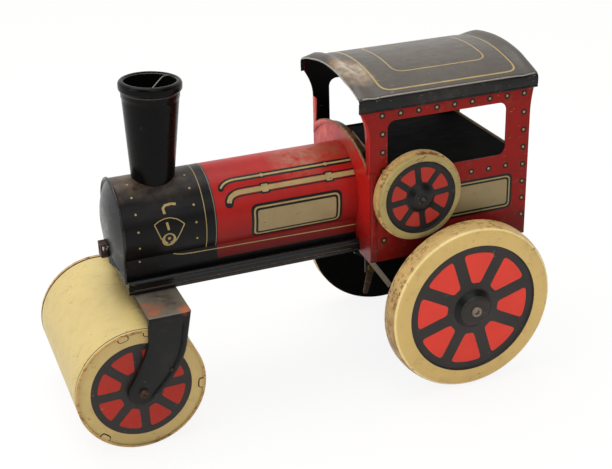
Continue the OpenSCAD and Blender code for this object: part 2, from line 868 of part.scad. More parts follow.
module axle_pinion() {
    turn = mesh_turn(second_c, axle_c, second_teeth, axle_teeth, 0);
    color(brass) gear(axle_c, axle_teeth, second_y, turn, axle_r + seat_gap);
}

module flywheel() {
    color(cream) turn_y(fly_c) translate([0, fly_in])
        wheel_pressing(fly_r, fly_w, fly_shoulder_r, fly_lip_w, fly_dish_r, fly_boss_r, fly_boss_top_r,
                       fly_boss_h, fly_shaft_r + seat_gap);
}

module flywheel_back() {
    color(black) turn_y(fly_c) translate([0, fly_in])
        wheel_disc(fly_r - fly_lip_w - seat_gap, fly_shaft_r + seat_gap, fly_shaft_r + 1.2, 2);
}

// Shaft with a pointed outer end
module flywheel_shaft() {
    color(tin) {
        bar(fly_c, fly_shaft_r, -plate_y - collar / 2, fly_hub_y);
        turn_y(fly_c) polygon([[0, fly_hub_y], [fly_shaft_r, fly_hub_y], [0, fly_hub_y + fly_pin]]);
    }
}

module flywheel_pinion() {
    turn = mesh_turn(second_c, fly_c, second_teeth, fly_teeth, 0);
    color(brass) gear(fly_c, fly_teeth, second_y, turn, fly_shaft_r + seat_gap);
}

// Second wheel with its pinion in one piece
module second_wheel() {
    color(brass) {
        gear(second_c, second_teeth, second_y, 0, fly_shaft_r + seat_gap);
        gear(second_c, small_teeth, great_y - side_gap, 0, fly_shaft_r + seat_gap,
             second_y - great_y + side_gap);
    }
}

module second_arbor() {
    color(tin) bar(second_c, fly_shaft_r, -plate_y - collar / 2, plate_y + collar / 2);
}

module great_wheel() {
    turn = mesh_turn(second_c, great_c, small_teeth, great_teeth, 0);
    color(brass) gear(great_c, great_teeth, great_y, turn, arbor_r + run_gap);
}

module winding_arbor() {
    color(tin) bar(great_c, arbor_r, -key_in - key_stem, plate_y + collar / 2);
}

// Butterfly key on the right side of the cab
module winding_key() {
    wing_r = key_span / 4;
    color(tin) difference() {
        union() {
            bar(great_c, key_stem_r, -key_in - key_stem, -key_in);
            across(-key_in - key_stem, -key_in - key_stem + key_t) translate(great_c) difference() {
                for (s = [-1, 1]) translate([s * (key_span / 2 - wing_r), 0]) circle(wing_r);
                for (s = [-1, 1]) translate([s * (key_span / 2 - wing_r), 0]) circle(wing_r / 3);
            }
        }
        bar(great_c, arbor_r + seat_gap, -key_in - key_stem - cut, -key_in + cut);
    }
}

chassis();
boiler();
smokebox_front();
chimney();
pull_hook();
king_bush();
king_pin();
cab_front();
cab_side_left();
cab_side_right();
cab_rear();
cab_floor();
cab_tray();
roof();
motor_plate_left();
motor_plate_right();
motor_pillars();
mainspring();
lever_rivet();
fork();
roller_axle();
roller_drum();
roller_end_left();
roller_end_right();
rear_axle();
rear_wheel_left();
rear_wheel_right();
rear_back_left();
rear_back_right();
rear_hub_left();
rear_hub_right();
axle_pinion();
flywheel();
flywheel_back();
flywheel_shaft();
flywheel_pinion();
second_wheel();
second_arbor();
great_wheel();
winding_arbor();
winding_key();
stop_lever();
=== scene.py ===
import math

import bmesh
import bpy
from mathutils import Matrix, Vector


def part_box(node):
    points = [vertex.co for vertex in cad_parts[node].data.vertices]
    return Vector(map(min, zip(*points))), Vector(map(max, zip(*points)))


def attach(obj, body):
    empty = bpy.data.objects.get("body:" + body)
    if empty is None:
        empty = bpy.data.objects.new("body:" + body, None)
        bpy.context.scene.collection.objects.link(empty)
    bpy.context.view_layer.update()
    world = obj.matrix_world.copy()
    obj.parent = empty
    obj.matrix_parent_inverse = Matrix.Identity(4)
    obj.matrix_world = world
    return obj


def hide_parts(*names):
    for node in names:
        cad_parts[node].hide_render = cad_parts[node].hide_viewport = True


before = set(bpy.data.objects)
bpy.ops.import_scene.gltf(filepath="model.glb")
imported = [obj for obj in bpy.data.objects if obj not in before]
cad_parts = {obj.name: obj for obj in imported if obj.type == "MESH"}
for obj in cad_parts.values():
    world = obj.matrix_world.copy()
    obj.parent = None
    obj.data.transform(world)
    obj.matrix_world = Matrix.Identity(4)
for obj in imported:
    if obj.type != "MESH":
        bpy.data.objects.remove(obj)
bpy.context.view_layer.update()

# Sizes below are in millimetres, and the scene is in metres
MM = 0.001
X, Y, Z = 0, 1, 2
SIDES = (("left", 1), ("right", -1))


# Sizes read from the frame


def box_mm(node):
    """The two corners of a CAD node's box."""
    low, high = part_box(node)
    return low / MM, high / MM


boiler_low, boiler_high = box_mm("boiler")
boiler_r = (boiler_high.y - boiler_low.y) / 2
boiler_z = boiler_high.z - boiler_r
cab_high = box_mm("cab_side_left")[1]
cab_y = cab_high.y
front_high = box_mm("cab_front")[1]
cab_front_x = front_high.x
arch_top = front_high.z
roof_low, roof_high = box_mm("roof")
roof_y = roof_high.y
wheel_low, wheel_high = box_mm("rear_wheel_left")

# Sizes of the same sheets that their boxes don't give
neck_y = 15.0
chassis_y = 17.7
smokebox_x = 34.2
skirt_z = 64.6
sill_z = 93.6
roof_r = 78.4
roof_axis = roof_high.z - roof_r


# Shading

# Widths of the patterns. Grain in old varnish is about 0.1 mm, and is drawn coarser so that it shows
CLOUD_WIDTH = 9.0
BLOT_WIDTH = 4.0
CHIP_WIDTH = 1.3
CHIP_CLUSTER_WIDTH = 11.0
SMUDGE_WIDTH = 4.5
SCUFF_WIDTH = 2.2
GRAIN_WIDTH = 0.6
GRAIN_DEPTH = 0.05
# Chips and scuffs are drawn out along the toy, the way that it is pushed
CHIP_STRETCH = (0.5, 1, 1)
SCUFF_STRETCH = (0.25, 1, 1)
OLD_VARNISH = "#1a1512"
# Sockets of the Mix node for colours, whose names repeat
FACTOR, UNDER, OVER, MIXED = 0, 6, 7, 2


def srgb(text):
    """A colour written as sRGB hex, as the linear RGBA that a shader wants."""
    parts = [int(text[i : i + 2], 16) / 255 for i in (1, 3, 5)]
    return tuple(p / 12.92 if p <= 0.04045 else ((p + 0.055) / 1.055) ** 2.4 for p in parts) + (1.0,)


def add(tree, kind, inputs, out=0, **settings):
    """Adds a shader node, sets or links its inputs, and returns one of its outputs."""
    node = tree.nodes.new("ShaderNode" + kind)
    for name, value in settings.items():
        setattr(node, name, value)
    for name, value in inputs.items():
        if isinstance(value, bpy.types.NodeSocket):
            tree.links.new(value, node.inputs[name])
        else:
            node.inputs[name].default_value = value
    return node.outputs[out] if len(node.outputs) else None


def mottled(tree, where, width, low, high, stretch=(1, 1, 1)):
    """A soft 0 to 1 mask of blots about that wide, cut between the noise values low and high."""
    spread = add(tree, "VectorMath", {0: where, 1: tuple(s / width for s in stretch)}, operation="MULTIPLY")
    noise = add(tree, "TexNoise", {"Vector": spread, "Scale": 1.0, "Detail": 4.0, "Roughness": 0.6})
    return add(tree, "MapRange", {"Value": noise, "From Min": low, "From Max": high})


def tinplate(
    name,
    paint,
    zones=(),
    shade_fades=(),
    stains_and_sheen=(),
    wear="#8c7350",
    chips=0.0,
    cloud=0.16,
    rough=0.32,
    gloss=0.25,
    metal=0.0,
):
    """Printed or bare sheet: ink with faint clouding, worn chips in clusters, stains and fine scuffs.

    zones paint another colour past a plane, as (axis, sign, place, colour); shade_fades are painted shade
    that deepens from one height to another, as (first, last, colour, strength); stains_and_sheen are soft
    round marks, real stains and painted highlights both, as (centre, radius, colour, strength); gloss is
    the strength of the varnish's reflection.
    """
    material = bpy.data.materials.new(name)
    material.use_nodes = True
    tree = material.node_tree
    tree.nodes.clear()
    spot = add(tree, "TexCoord", {}, out="Object")
    where = add(tree, "VectorMath", {0: spot, "Scale": 1 / MM}, operation="SCALE")
    axes = [add(tree, "SeparateXYZ", {0: where}, out=axis) for axis in (X, Y, Z)]
    layers = []
    # Painted shade: each fade darkens the colour from one height down to another
    for first, last, tint, strength in shade_fades:
        span = {"Value": axes[Z], "From Min": first, "From Max": last, "To Max": strength}
        layers.append((add(tree, "MapRange", span, interpolation_type="SMOOTHSTEP"), tint))
    for axis, sign, place, tint in zones:
        past = add(tree, "Math", {0: axes[axis], 1: sign, 2: -sign * place}, operation="MULTIPLY_ADD")
        layers.append((add(tree, "Math", {0: past, 1: 0.0}, operation="GREATER_THAN"), tint))
    # Broad clouding, as old varnish darkens unevenly
    shade = mottled(tree, where, CLOUD_WIDTH, 0.35, 0.7)
    layers.append((add(tree, "Math", {0: shade, 1: cloud}, operation="MULTIPLY"), OLD_VARNISH))
    # Soft stains and rubbed places, and soft round painted highlights
    for centre, radius, tint, strength in stains_and_sheen:
        far = add(tree, "VectorMath", {0: where, 1: centre}, out="Value", operation="DISTANCE")
        span = {"Value": far, "From Min": radius, "From Max": radius * 0.3, "To Max": strength}
        near = add(tree, "MapRange", span)
        blot = mottled(tree, where, BLOT_WIDTH, 0.3, 0.68)
        layers.append((add(tree, "Math", {0: near, 1: blot}, operation="MULTIPLY"), tint))
    # Small chips through the ink to dull tin and rust, in clusters, with a faint brown smudge round them
    if chips:
        smudge = mottled(tree, where, SMUDGE_WIDTH, 0.56, 0.8)
        smudge = add(tree, "Math", {0: smudge, 1: 0.32 * chips}, operation="MULTIPLY", use_clamp=True)
        layers.append((smudge, wear))
        cut = 0.68 - 0.08 * chips
        chip = mottled(tree, where, CHIP_WIDTH, cut, cut + 0.06, CHIP_STRETCH)
        cluster = mottled(tree, where, CHIP_CLUSTER_WIDTH, 0.4, 0.62)
        layers.append((add(tree, "Math", {0: chip, 1: cluster}, operation="MULTIPLY"), wear))
    colour = add(tree, "RGB", {})
    colour.default_value = srgb(paint)
    for mask, tint in layers:
        inks = {FACTOR: mask, UNDER: colour, OVER: srgb(tint)}
        colour = add(tree, "Mix", inks, out=MIXED, data_type="RGBA")
    scuff = mottled(tree, where, SCUFF_WIDTH, 0.4, 0.75, SCUFF_STRETCH)
    dull = add(tree, "MapRange", {"Value": scuff, "To Min": rough, "To Max": rough + 0.14})
    grain = mottled(tree, where, GRAIN_WIDTH, 0.0, 1.0)
    bump = add(tree, "Bump", {"Height": grain, "Strength": 0.08, "Distance": GRAIN_DEPTH * MM})
    look = {"Base Color": colour, "Roughness": dull, "Metallic": metal, "Normal": bump}
    surface = add(tree, "BsdfPrincipled", look | {"Specular IOR Level": gloss})
    add(tree, "OutputMaterial", {"Surface": surface})
    return material


# Black ink, and the flat black of the insides
BLACK, INSIDE = "#0d0c0c", "#040404"
# Depth below a printed face at which its sheet shows the black of the inside
PRINT_DEPTH = 0.25

# Varnished red litho of the cab sides: a low shine, painted shade darker near the bottom, flat black inside
# Its red is set darker than the boiler's and the front wall's, as painted shade on the dim side
cab_litho = {
    side: tinplate(
        "litho_red_cab_" + name,
        "#8d1c18",
        zones=[(Y, -side, side * (cab_y - PRINT_DEPTH), INSIDE)],
        shade_fades=[(72, 57, "#2d0b09", 0.45)],
        chips=0.5,
        gloss=0.1,
    )
    for name, side in SIDES
}
# Brighter red litho of the front wall: rubbed to tan along the arch, black inside
# Painted highlight: a pale pink patch over the bent far corner; painted shade darkens the wall towards the
# bottom
front_litho = tinplate(
    "litho_red_bulkhead",
    "#bb1b17",
    zones=[(X, -1, cab_front_x - PRINT_DEPTH, INSIDE)],
    shade_fades=[(80, 57, "#330806", 0.75)],
    stains_and_sheen=[((cab_front_x, 8, 103), 12, "#8a5a40", 0.8), ((cab_front_x, -23, 97), 22, "#e8615c", 1.0)],
    chips=0.5,
    gloss=0.26,
)
# Boiler litho: red barrel, black smokebox ahead and black skirt below, brown round the chimney as dust and
# a painted sheen
boiler_litho = tinplate(
    "litho_boiler",
    "#a61b16",
    zones=[(X, 1, smokebox_x, BLACK), (Z, -1, skirt_z, BLACK)],
    # Painted shade: darker down the lower barrel
    shade_fades=[(86, 63, "#200605", 0.7)],
    stains_and_sheen=[
        # Brown on the smokebox top: dust, and a painted sheen
        ((52, 0, 99), 19, "#5d4c3e", 0.7),
        ((66, 2, 98), 12, "#6d5b49", 0.75),
        ((-18, 3, 99), 11, "#7a5a40", 0.75),
        ((-4, 5, 98), 14, "#a08a70", 0.55),
        ((69.5, 10, 92), 3, "#7a3a26", 0.8),
    ],
    wear="#43261f",
    chips=0.25,
    gloss=0.16,
)
# Varnished black litho, a little grey with rubbing
black_litho = tinplate("litho_black", BLACK, wear="#5d5347", chips=0.3, rough=0.26, gloss=0.28)
# Black litho of the chimney, nearly unworn: deep black with a narrow shine
chimney_litho = tinplate(
    "litho_black_chimney", "#070606", wear="#3d3833", chips=0.15, rough=0.2, gloss=0.1
)
# Black litho of the domed front plate: the dome catches a broad grey shine
plate_litho = tinplate(
    "litho_black_front_plate", BLACK, wear="#7d7263", chips=0.35, rough=0.26, gloss=0.42
)
# Rear wall: black, rubbed to tan along its rolled top edge
rear_litho = tinplate(
    "litho_black_rear_wall", INSIDE, zones=[(Z, 1, sill_z - 0.7, "#6b5535")], wear="#4a3d2e", chips=0.3
)
# Roof: black litho painted grey on top as a painted sheen and deep black down the eaves, rubbed to tin at
# its front edge
roof_litho = tinplate(
    "litho_black_roof",
    "#4e4841",
    zones=[(Z, -1, roof_low.z + 5.4, "#060505")],
    stains_and_sheen=[
        ((-24.5, 3, 133), 7, "#a9825c", 0.9),
        ((-25, 10, 132), 8, "#d2bfa6", 1.0),
        ((-25.5, 17, 130), 8, "#b59a7c", 0.85),
        # Painted sheen: a broad grey patch in the middle of the roof
        ((-60, 5, 132), 34, "#6a6058", 0.45),
    ],
    wear="#8a7a62",
    chips=0.4,
    rough=0.34,
    gloss=0.28,
)
# Fork: dull black litho, its crown rubbed to brown with spots of rust at the corners
fork_litho = tinplate(
    "litho_black_fork",
    "#141313",
    zones=[(Z, 1, 56.3, "#6d6457")],
    stains_and_sheen=[
        ((54, 36, 57.5), 4.0, "#c8602a", 1.0),
        ((66, 34, 57.5), 4.0, "#b0562c", 0.9),
        ((67, 28, 57), 4.0, "#a0542f", 0.7),
        ((60, 24, 57), 8, "#2f2b26", 0.9),
        ((58, 31, 57.3), 5, "#2b241e", 0.7),
        ((64, 30, 57.3), 5, "#8a5030", 0.7),
        ((60, -30, 57), 18, "#5a4a3c", 0.7),
    ],
    wear="#4f4034",
    chips=0.4,
    rough=0.4,
)
# Cream litho, yellowed and satin, with brown chips and smudges: drum, its ends, flywheel and rear wheels
cream_litho = tinplate("litho_cream", "#cab475", wear="#7a5230", chips=0.55, cloud=0.08, rough=0.4)
face_cream = tinplate(
    "litho_cream_roller_face", "#cab073", wear="#6d4d30", chips=0.5, cloud=0.14, rough=0.42
)
fly_cream = tinplate("litho_cream_flywheel", "#ab985f", wear="#6d4a2c", chips=0.8, rough=0.42)
wheel_cream = tinplate(
    "litho_cream_wheel", "#d8b76d", wear="#7a5230", chips=0.7, cloud=0.08, rough=0.28, gloss=0.45
)
worn_cream = tinplate("litho_cream_worn", "#c4a164", wear="#74492c", chips=2.2, rough=0.4)
# Treads of the rear wheels: cream litho chipped all over, and browner and darker towards the front
tread_cream = tinplate(
    "litho_cream_tread",
    "#d0af70",
    stains_and_sheen=[((wheel_high.x - 6, wheel_low.y, wheel_low.z + 20), 36, "#7d5233", 0.8)],
    wear="#74492c",
    chips=2.2,
    rough=0.4,
)
# Shoulders of the rear wheels: a pale cream painted highlight along the bend, glossier than the face
shoulder_highlight_cream = tinplate(
    "litho_cream_painted_highlight", "#efd795", wear="#8a6238", chips=0.9, cloud=0.05, rough=0.22, gloss=0.5
)
# Dark brown along the folded seams, and flat black inside the hollow pieces
seam_brown = tinplate("dark_brown_seam", "#382616", wear="#20150c", chips=0.5, rough=0.6)
inside_black = tinplate("black_inside", INSIDE, rough=0.8, gloss=0.05)
# Litho of the wheel faces: charcoal black with red sectors, more satin than the cab; its black also paints
# a faint highlight line on the chimney's collar
wheel_black_and_sheen = tinplate("litho_wheel_black_and_sheen", "#302c2a", wear="#6a5f52", chips=0.3, rough=0.4)
fly_black = tinplate("litho_flywheel_black", "#1d1a19", wear="#6a5f52", chips=0.3, rough=0.4)
wheel_red = tinplate("litho_wheel_red", "#e74437", chips=0.25, cloud=0.08, rough=0.36, gloss=0.15)
roller_red = tinplate("litho_roller_red", "#b03329", chips=0.25, cloud=0.1, rough=0.36, gloss=0.15)
# Inks of the thin print: dull gold, tan, black, and grey where black has rubbed through
gold_ink = tinplate("litho_gold_line", "#a8925f", wear="#5a4830", chips=0.6, cloud=0.2)
tan_ink = tinplate("litho_tan_plate", "#9a8760", wear="#6d5a3c", chips=0.5, cloud=0.14)
# The black ink also paints shade on the sides of the wheels' bosses
black_ink_and_shade = tinplate("litho_black_line_and_shade", "#0b0a0a", rough=0.34)
# The grey ink also paints a highlight just inside the chimney's rim
grey_ink_and_highlight = tinplate("litho_grey_line_and_highlight", "#6c675f", rough=0.34)
# Edges: a painted grey highlight along the roof's edge, and where the ink has gone, pale tin on the chassis
# and brown along the arch
roof_edge_highlight = tinplate("litho_black_painted_highlight", "#9a948c", wear="#3d362f", chips=1.0, rough=0.3, gloss=0.4)
bare_edge = tinplate(
    "bare_tin_edge", "#b5a893", wear="#5a4030", chips=1.0, rough=0.4, gloss=0.4, metal=0.2
)
worn_edge = tinplate("worn_edge", "#8a6540", wear="#b08a5a", chips=1.6, rough=0.45)
# Tinned and plain steel, from dull eyelets to the dark motor plates and the rusty hook, and stamped brass
hub_tin = tinplate(
    "dull_tin_eyelet", "#8a7b68", wear="#4a3526", chips=1.2, rough=0.4, gloss=0.4, metal=0.3
)
bare_steel = tinplate("bare_tin", "#8d877c", wear="#5a4030", chips=0.8, rough=0.36, gloss=0.5, metal=0.85)
spring_steel = tinplate(
    "spring_steel", "#5d6066", wear="#3d3a38", chips=0.4, rough=0.3, gloss=0.5, metal=0.9
)
dark_steel = tinplate("dark_steel", "#3a3330", wear="#6b4a34", chips=1.0, rough=0.45, gloss=0.5, metal=0.5)
rusty_steel = tinplate("rusty_steel", "#3d2e24", wear="#7a4e32", chips=1.4, rough=0.6, metal=0.3)
brass = tinplate("stamped_brass", "#7a6230", wear="#3d3018", chips=1.0, rough=0.4, metal=0.8)

# Every CAD node that stays in view gets its finish
node_finish = {
    black_litho: "chassis",
    plate_litho: "smokebox_front",
    rear_litho: "cab_rear",
    inside_black: "cab_floor cab_tray rear_back_left rear_back_right flywheel_back",
    boiler_litho: "boiler",
    front_litho: "cab_front",
    cab_litho[1]: "cab_side_left",
    cab_litho[-1]: "cab_side_right",
    rusty_steel: "pull_hook roller_axle stop_lever",
    bare_steel: "king_bush king_pin rear_axle second_arbor winding_arbor winding_key",
    spring_steel: "mainspring",
    brass: "lever_rivet axle_pinion flywheel_pinion second_wheel great_wheel",
    dark_steel: "flywheel_shaft motor_plate_left motor_plate_right motor_pillars",
}
for finish, names in node_finish.items():
    for name in names.split():
        for material_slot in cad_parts[name].material_slots:
            material_slot.link = "OBJECT"
            material_slot.material = finish


# Shapes


def settle(obj, body, replaced):
    """Puts a piece on its CAD body, and lets it stand for CAD nodes."""
    bpy.context.scene.collection.objects.link(obj)
    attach(obj, body)
    if replaced:
        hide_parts(*replaced)
    return obj


def piece(name, points, faces, finishes, body, slot, which=None, replaced=(), sharp=40, thick=0.0):
    """A mesh from points in millimetres, smooth where it bends by less than sharp degrees.

    thick turns it into a sheet that grows inwards.
    """
    mesh = bpy.data.meshes.new(name)
    mesh.from_pydata([Vector(p) * MM for p in points], [], faces)
    for finish in finishes:
        mesh.materials.append(finish)
    if which:
        mesh.polygons.foreach_set("material_index", which)
    shape = bmesh.new()
    shape.from_mesh(mesh)
    bmesh.ops.remove_doubles(shape, verts=shape.verts, dist=1e-7)
    bmesh.ops.recalc_face_normals(shape, faces=shape.faces)
    shape.to_mesh(mesh)
    shape.free()
    if sharp:
        mesh.polygons.foreach_set("use_smooth", [True] * len(mesh.polygons))
        mesh.set_sharp_from_angle(angle=math.radians(sharp))
    obj = bpy.data.objects.new(name, mesh)
    if thick:
        wall = obj.modifiers.new("thickness", "SOLIDIFY")
        wall.thickness = thick * MM
        wall.offset = -1
    return settle(obj, body, replaced)


def band(first, second, count):
    """Faces between two closed rings of points, each given by its first number."""
    ring = range(count)
    return [(first + i, first + (i + 1) % count, second + (i + 1) % count, second + i) for i in ring]


def lathe(name, place, profile, finishes, body, slot, replaced=(), turns=128):
    """Turns a profile of (radius, height, finish number) about the local Z axis of place."""
    points = []
    faces = []
    which = []
    count = len(profile)
    for i, angle in enumerate(turn(turns)):
        for radius, height, _ in profile:
            points.append(place @ Vector((radius * math.cos(angle), radius * math.sin(angle), height)))
        here, there = i * count, (i + 1) % turns * count
        for k in range(count - 1):
            faces.append((here + k, here + k + 1, there + k + 1, there + k))
            which.append(profile[k][2])
    return piece(name, points, faces, finishes, body, slot, which, replaced)


def bend(radius, height, size, first, last, finish, steps=6):
    """Profile points of a rounded edge about (radius, height), between two angles in degrees."""
    angles = [math.radians(first + (last - first) * i / steps) for i in range(steps + 1)]
    return [(radius + size * math.cos(a), height + size * math.sin(a), finish) for a in angles]


def across(x, y, z, side):
    """Placement whose Z axis points out of one side of the toy."""
    return Matrix.Translation((x, y, z)) @ Matrix.Rotation(math.radians(-90 * side), 4, "X")


def wire(name, paths, radius, finish, body):
    """Round beads along paths of points in millimetres."""
    curve = bpy.data.curves.new(name, "CURVE")
    curve.dimensions = "3D"
    curve.bevel_depth = radius * MM
    curve.bevel_resolution = 3
    curve.use_fill_caps = True
    for path in paths:
        line = curve.splines.new("POLY")
        line.points.add(len(path) - 1)
        for point, place in zip(line.points, path):
            point.co = (*(Vector(place) * MM), 1)
    curve.materials.append(finish)
    return settle(bpy.data.objects.new(name, curve), body, ())


# Printed artwork: flat shapes laid on a surface, which is a function from two lengths to a point.
# Inks lie a few hundredths of a millimetre above the sheet and above each other, so that none flickers


class Art:
    """Shapes in one ink on one body."""

    def __init__(self):
        self.points = []
        self.faces = []

    def fill(self, surface, outline, rings=1):
        """A filled outline, in rings towards its middle so that it follows a curve."""
        middle = sum((Vector(p) for p in outline), Vector((0, 0))) / len(outline)
        start = len(self.points)
        count = len(outline)
        for k in range(rings):
            for p in outline:
                self.points.append(surface(*(middle + (Vector(p) - middle) * (1 - k / rings))))
        self.points.append(surface(*middle))
        last = len(self.points) - 1
        for k in range(rings - 1):
            self.faces += band(start + k * count, start + (k + 1) * count, count)
        inner = last - count
        self.faces += [(inner + i, inner + (i + 1) % count, last) for i in range(count)]

    def stripe(self, surface, path, width, closed=False):
        """A line of even width along a path."""
        path = [Vector(p) for p in path]
        count = len(path)
        start = len(self.points)
        for i, p in enumerate(path):
            before = path[i - 1] if closed or i else p
            after = path[(i + 1) % count] if closed or i + 1 < count else p
            along = (after - before).normalized()
            side = Vector((-along.y, along.x)) * width / 2
            self.points.append(surface(*(p + side)))
            self.points.append(surface(*(p - side)))
        for i in range(count if closed else count - 1):
            a, b = start + 2 * i, start + 2 * ((i + 1) % count)
            self.faces.append((a, a + 1, b + 1, b))

    def dot(self, surface, u, v, radius, sides=20):
        self.fill(surface, [(u + radius * math.cos(a), v + radius * math.sin(a)) for a in turn(sides)])

    def lay(self, name, finish, body, slot, thick=0.02):
        return piece(name, self.points, self.faces, [finish], body, slot, sharp=0, thick=thick)


def turn(sides):
    """Angles of a full turn."""
    return [2 * math.pi * i / sides for i in range(sides)]


def dense(path, step=1.5):
    """The same path with points no further apart than step."""
    points = []
    for a, b in zip(path, path[1:]):
        a, b = Vector(a), Vector(b)
        count = max(1, math.ceil((b - a).length / step))
        points += [a + (b - a) * i / count for i in range(count)]
    return points + [Vector(path[-1])]


def curve(first, towards, last, steps=8):
    """Points from first to last on a curve drawn towards a third point."""
    first, towards, last = Vector(first), Vector(towards), Vector(last)
    shares = [i / steps for i in range(steps + 1)]
    return [first * (1 - t) ** 2 + towards * 2 * t * (1 - t) + last * t**2 for t in shares]


def rounded(corners, radius, steps=5):
    """A closed outline with its corners rounded."""
    points = []
    count = len(corners)
    for i in range(count):
        before, at, after = (Vector(corners[(i + k) % count]) for k in (-1, 0, 1))
        reach_in = min(radius, (before - at).length / 2)
        reach_out = min(radius, (after - at).length / 2)
        first = at + (before - at).normalized() * reach_in
        last = at + (after - at).normalized() * reach_out
        points += curve(first, at, last, steps)
    return points


def frame_outline(u0, u1, v0, v1, radius):
    """A rounded rectangle with its long sides divided."""
    outline = rounded([(u0, v0), (u1, v0), (u1, v1), (u0, v1)], radius)
    return dense(outline + outline[:1])[:-1]


def inset(outline, distance):
    """A closed outline that runs clockwise, moved inwards."""
    moved = []
    count = len(outline)
    for i in range(count):
        before, at, after = (outline[(i + k) % count] for k in (-1, 0, 1))
        first = (at - before).normalized()
        last = (after - at).normalized()
        first, last = Vector((first.y, -first.x)), Vector((last.y, -last.x))
        moved.append(at + (first + last) * distance / max(0.3, 1 + first.dot(last)))
    return moved


def on_boiler(lift):
    """Lengths along the boiler and down its left side from the top line."""
    radius = boiler_r + lift
    return lambda x, s: (x, radius * math.sin(s / boiler_r), boiler_z + radius * math.cos(s / boiler_r))


def on_side(y, lift):
    """Places along and up an upright face on the side of the toy."""
    out = y + math.copysign(lift, y)
    return lambda x, z: (x, out, z)


def on_wheel(x, y, z, side, lift):
    """Places on the face of a wheel from its middle."""
    return lambda u, v: (x + u, y + side * lift, z + v)


def bare_plate(surface, box, inks, side=1, rings=1):
    """A plain plate in a double frame: each ink, as (art, lift, margin, corner), lies on the one before."""
    u0, u1, v0, v1 = box
    for art, lift, margin, corner in inks:
        outline = frame_outline(u0 + margin, u1 - margin, v0 + margin, v1 - margin, corner)
        art.fill(surface(lift), [(u, side * v) for u, v in outline], rings)


# Wheels

INK = 0.04
SPOKES = 8
# Sides that a large wheel is divided into
FINE_TURNS = 160
# Width, depth of the dished disc and its radius, of the rear wheels and of the flywheel
REAR_WIDTH, REAR_DISH, REAR_DISC_R = 9.0, 0.9, 28.2
FLY_WIDTH, FLY_DISH, FLY_DISC_R = 5.2, 0.7, 15.2


def wheel_box(node):
    """Middle x and z, radius, and nearest and furthest reach from the middle plane, of a round node."""
    low, high = box_mm(node)
    near, far = sorted((abs(low.y), abs(high.y)))
    return (low.x + high.x) / 2, (low.z + high.z) / 2, (high.x - low.x) / 2, near, far


def spokes(art, surface, first, inner, outer, gap):
    """Sectors between round-cornered spokes of even width."""
    for i in range(SPOKES):
        middle = math.radians(first + 360 / SPOKES * i)
        corners = []
        for radius, order in ((inner, (-1, 0, 1)), (outer, (1, 0.5, 0, -0.5, -1))):
            half = math.pi / SPOKES - math.asin(gap / 2 / radius)
            for share in order:
                angle = middle + share * half
                corners.append((radius * math.cos(angle), radius * math.sin(angle)))
        art.fill(surface, rounded(corners, gap * 0.32))


def rear_wheel(name, side):
    """Hollow pressed wheel: crowned tread, rounded shoulder, dished black disc and raised boss."""
    x, z, r, back, boss = wheel_box(f"rear_wheel_{name}")
    face = back + REAR_WIDTH
    disc = face - REAR_DISH
    back_edge = (r - 1.2, back + 1.2, 1.2)
    shoulder = (r - 2.9, face - 2.5, 2.5)
    finishes = [wheel_cream, tread_cream, wheel_black_and_sheen, inside_black, black_ink_and_shade, shoulder_highlight_cream]
    cream, tread, black, inside, boss_shade, highlight = range(6)
    profile = (
        [(r - 3.0, back + 0.1, inside), (r - 1.2, back, inside)]
        + bend(*back_edge, -80, -30, inside, 3)
        + bend(*back_edge, -30, -4, tread, 3)
        + [(r, back + 3.2, tread), (r, face - 4.4, tread), (r - 0.35, face - 2.8, tread)]
        + bend(*shoulder, 2, 38, tread, 3)
        # Painted highlight along the middle of the shoulder
        + bend(*shoulder, 38, 60, highlight, 3)
        + bend(*shoulder, 60, 84, cream, 3)
        + [(r - 4.4, face, cream), (REAR_DISC_R, face, cream)]
        + bend(REAR_DISC_R, face - 0.35, 0.35, 95, 170, black, 3)
        + [(27.6, disc + 0.1, black), (27.0, disc, black), (9.4, disc, black)]
        # Painted shade: black ink on the sloping side of the boss
        + [(8.6, disc + 0.3, boss_shade), (6.6, boss - 0.9, black)]
        + bend(5.1, boss - 1.0, 1.0, 20, 90, black, 4)
        + [(2.0, boss, black)]
    )
    place = across(x, 0, z, side)
    replaced = [f"rear_wheel_{name}"]
    pressing = f"rear_wheel_{name}_pressing"
    lathe(pressing, place, profile, finishes, "rear_axle", "cream_litho", replaced, turns=FINE_TURNS)
    art = Art()
    surface = on_wheel(x, side * disc, z, side, INK)
    spokes(art, surface, first=5.7, inner=11.5, outer=24.8, gap=5.2)
    art.lay(f"rear_wheel_{name}_sectors", wheel_red, "rear_axle", "red_litho")


for name, side in SIDES:
    rear_wheel(name, side)

# Flywheel: stepped tread, dished face and a raised boss
fly_x, fly_z, fly_r, fly_back, fly_boss = wheel_box("flywheel")
fly_face = fly_back + FLY_WIDTH
fly_disc = fly_face - FLY_DISH
finishes = [fly_cream, worn_cream, fly_black, black_ink_and_shade]
cream, tread, black, boss_shade = range(4)
profile = (
    [(fly_r - 1.6, fly_back, cream)]
    + bend(fly_r - 0.8, fly_back + 0.8, 0.8, -80, 0, tread)
    + bend(fly_r - 0.5, fly_face - 2.2, 0.5, 5, 80, tread, 3)
    + [(17.75, fly_face - 1.6, tread), (17.65, fly_face - 1.2, cream)]
    + bend(16.6, fly_face - 1.0, 1.0, 0, 85, cream)
    + [(FLY_DISC_R, fly_face, cream)]
    + bend(FLY_DISC_R, fly_face - 0.3, 0.3, 95, 170, black, 3)
    + [(14.6, fly_disc + 0.1, black), (14.2, fly_disc, black), (6.2, fly_disc, black)]
    # Painted shade: black ink on the sloping side of the boss
    + [(5.6, fly_disc + 0.3, boss_shade), (3.9, fly_boss - 0.7, black)]
    + bend(2.6, fly_boss - 0.8, 0.8, 20, 90, black, 4)
    + [(1.3, fly_boss, black)]
)
place = across(fly_x, 0, fly_z, 1)
lathe("flywheel_pressing", place, profile, finishes, "flywheel", "cream_litho", ["flywheel"])
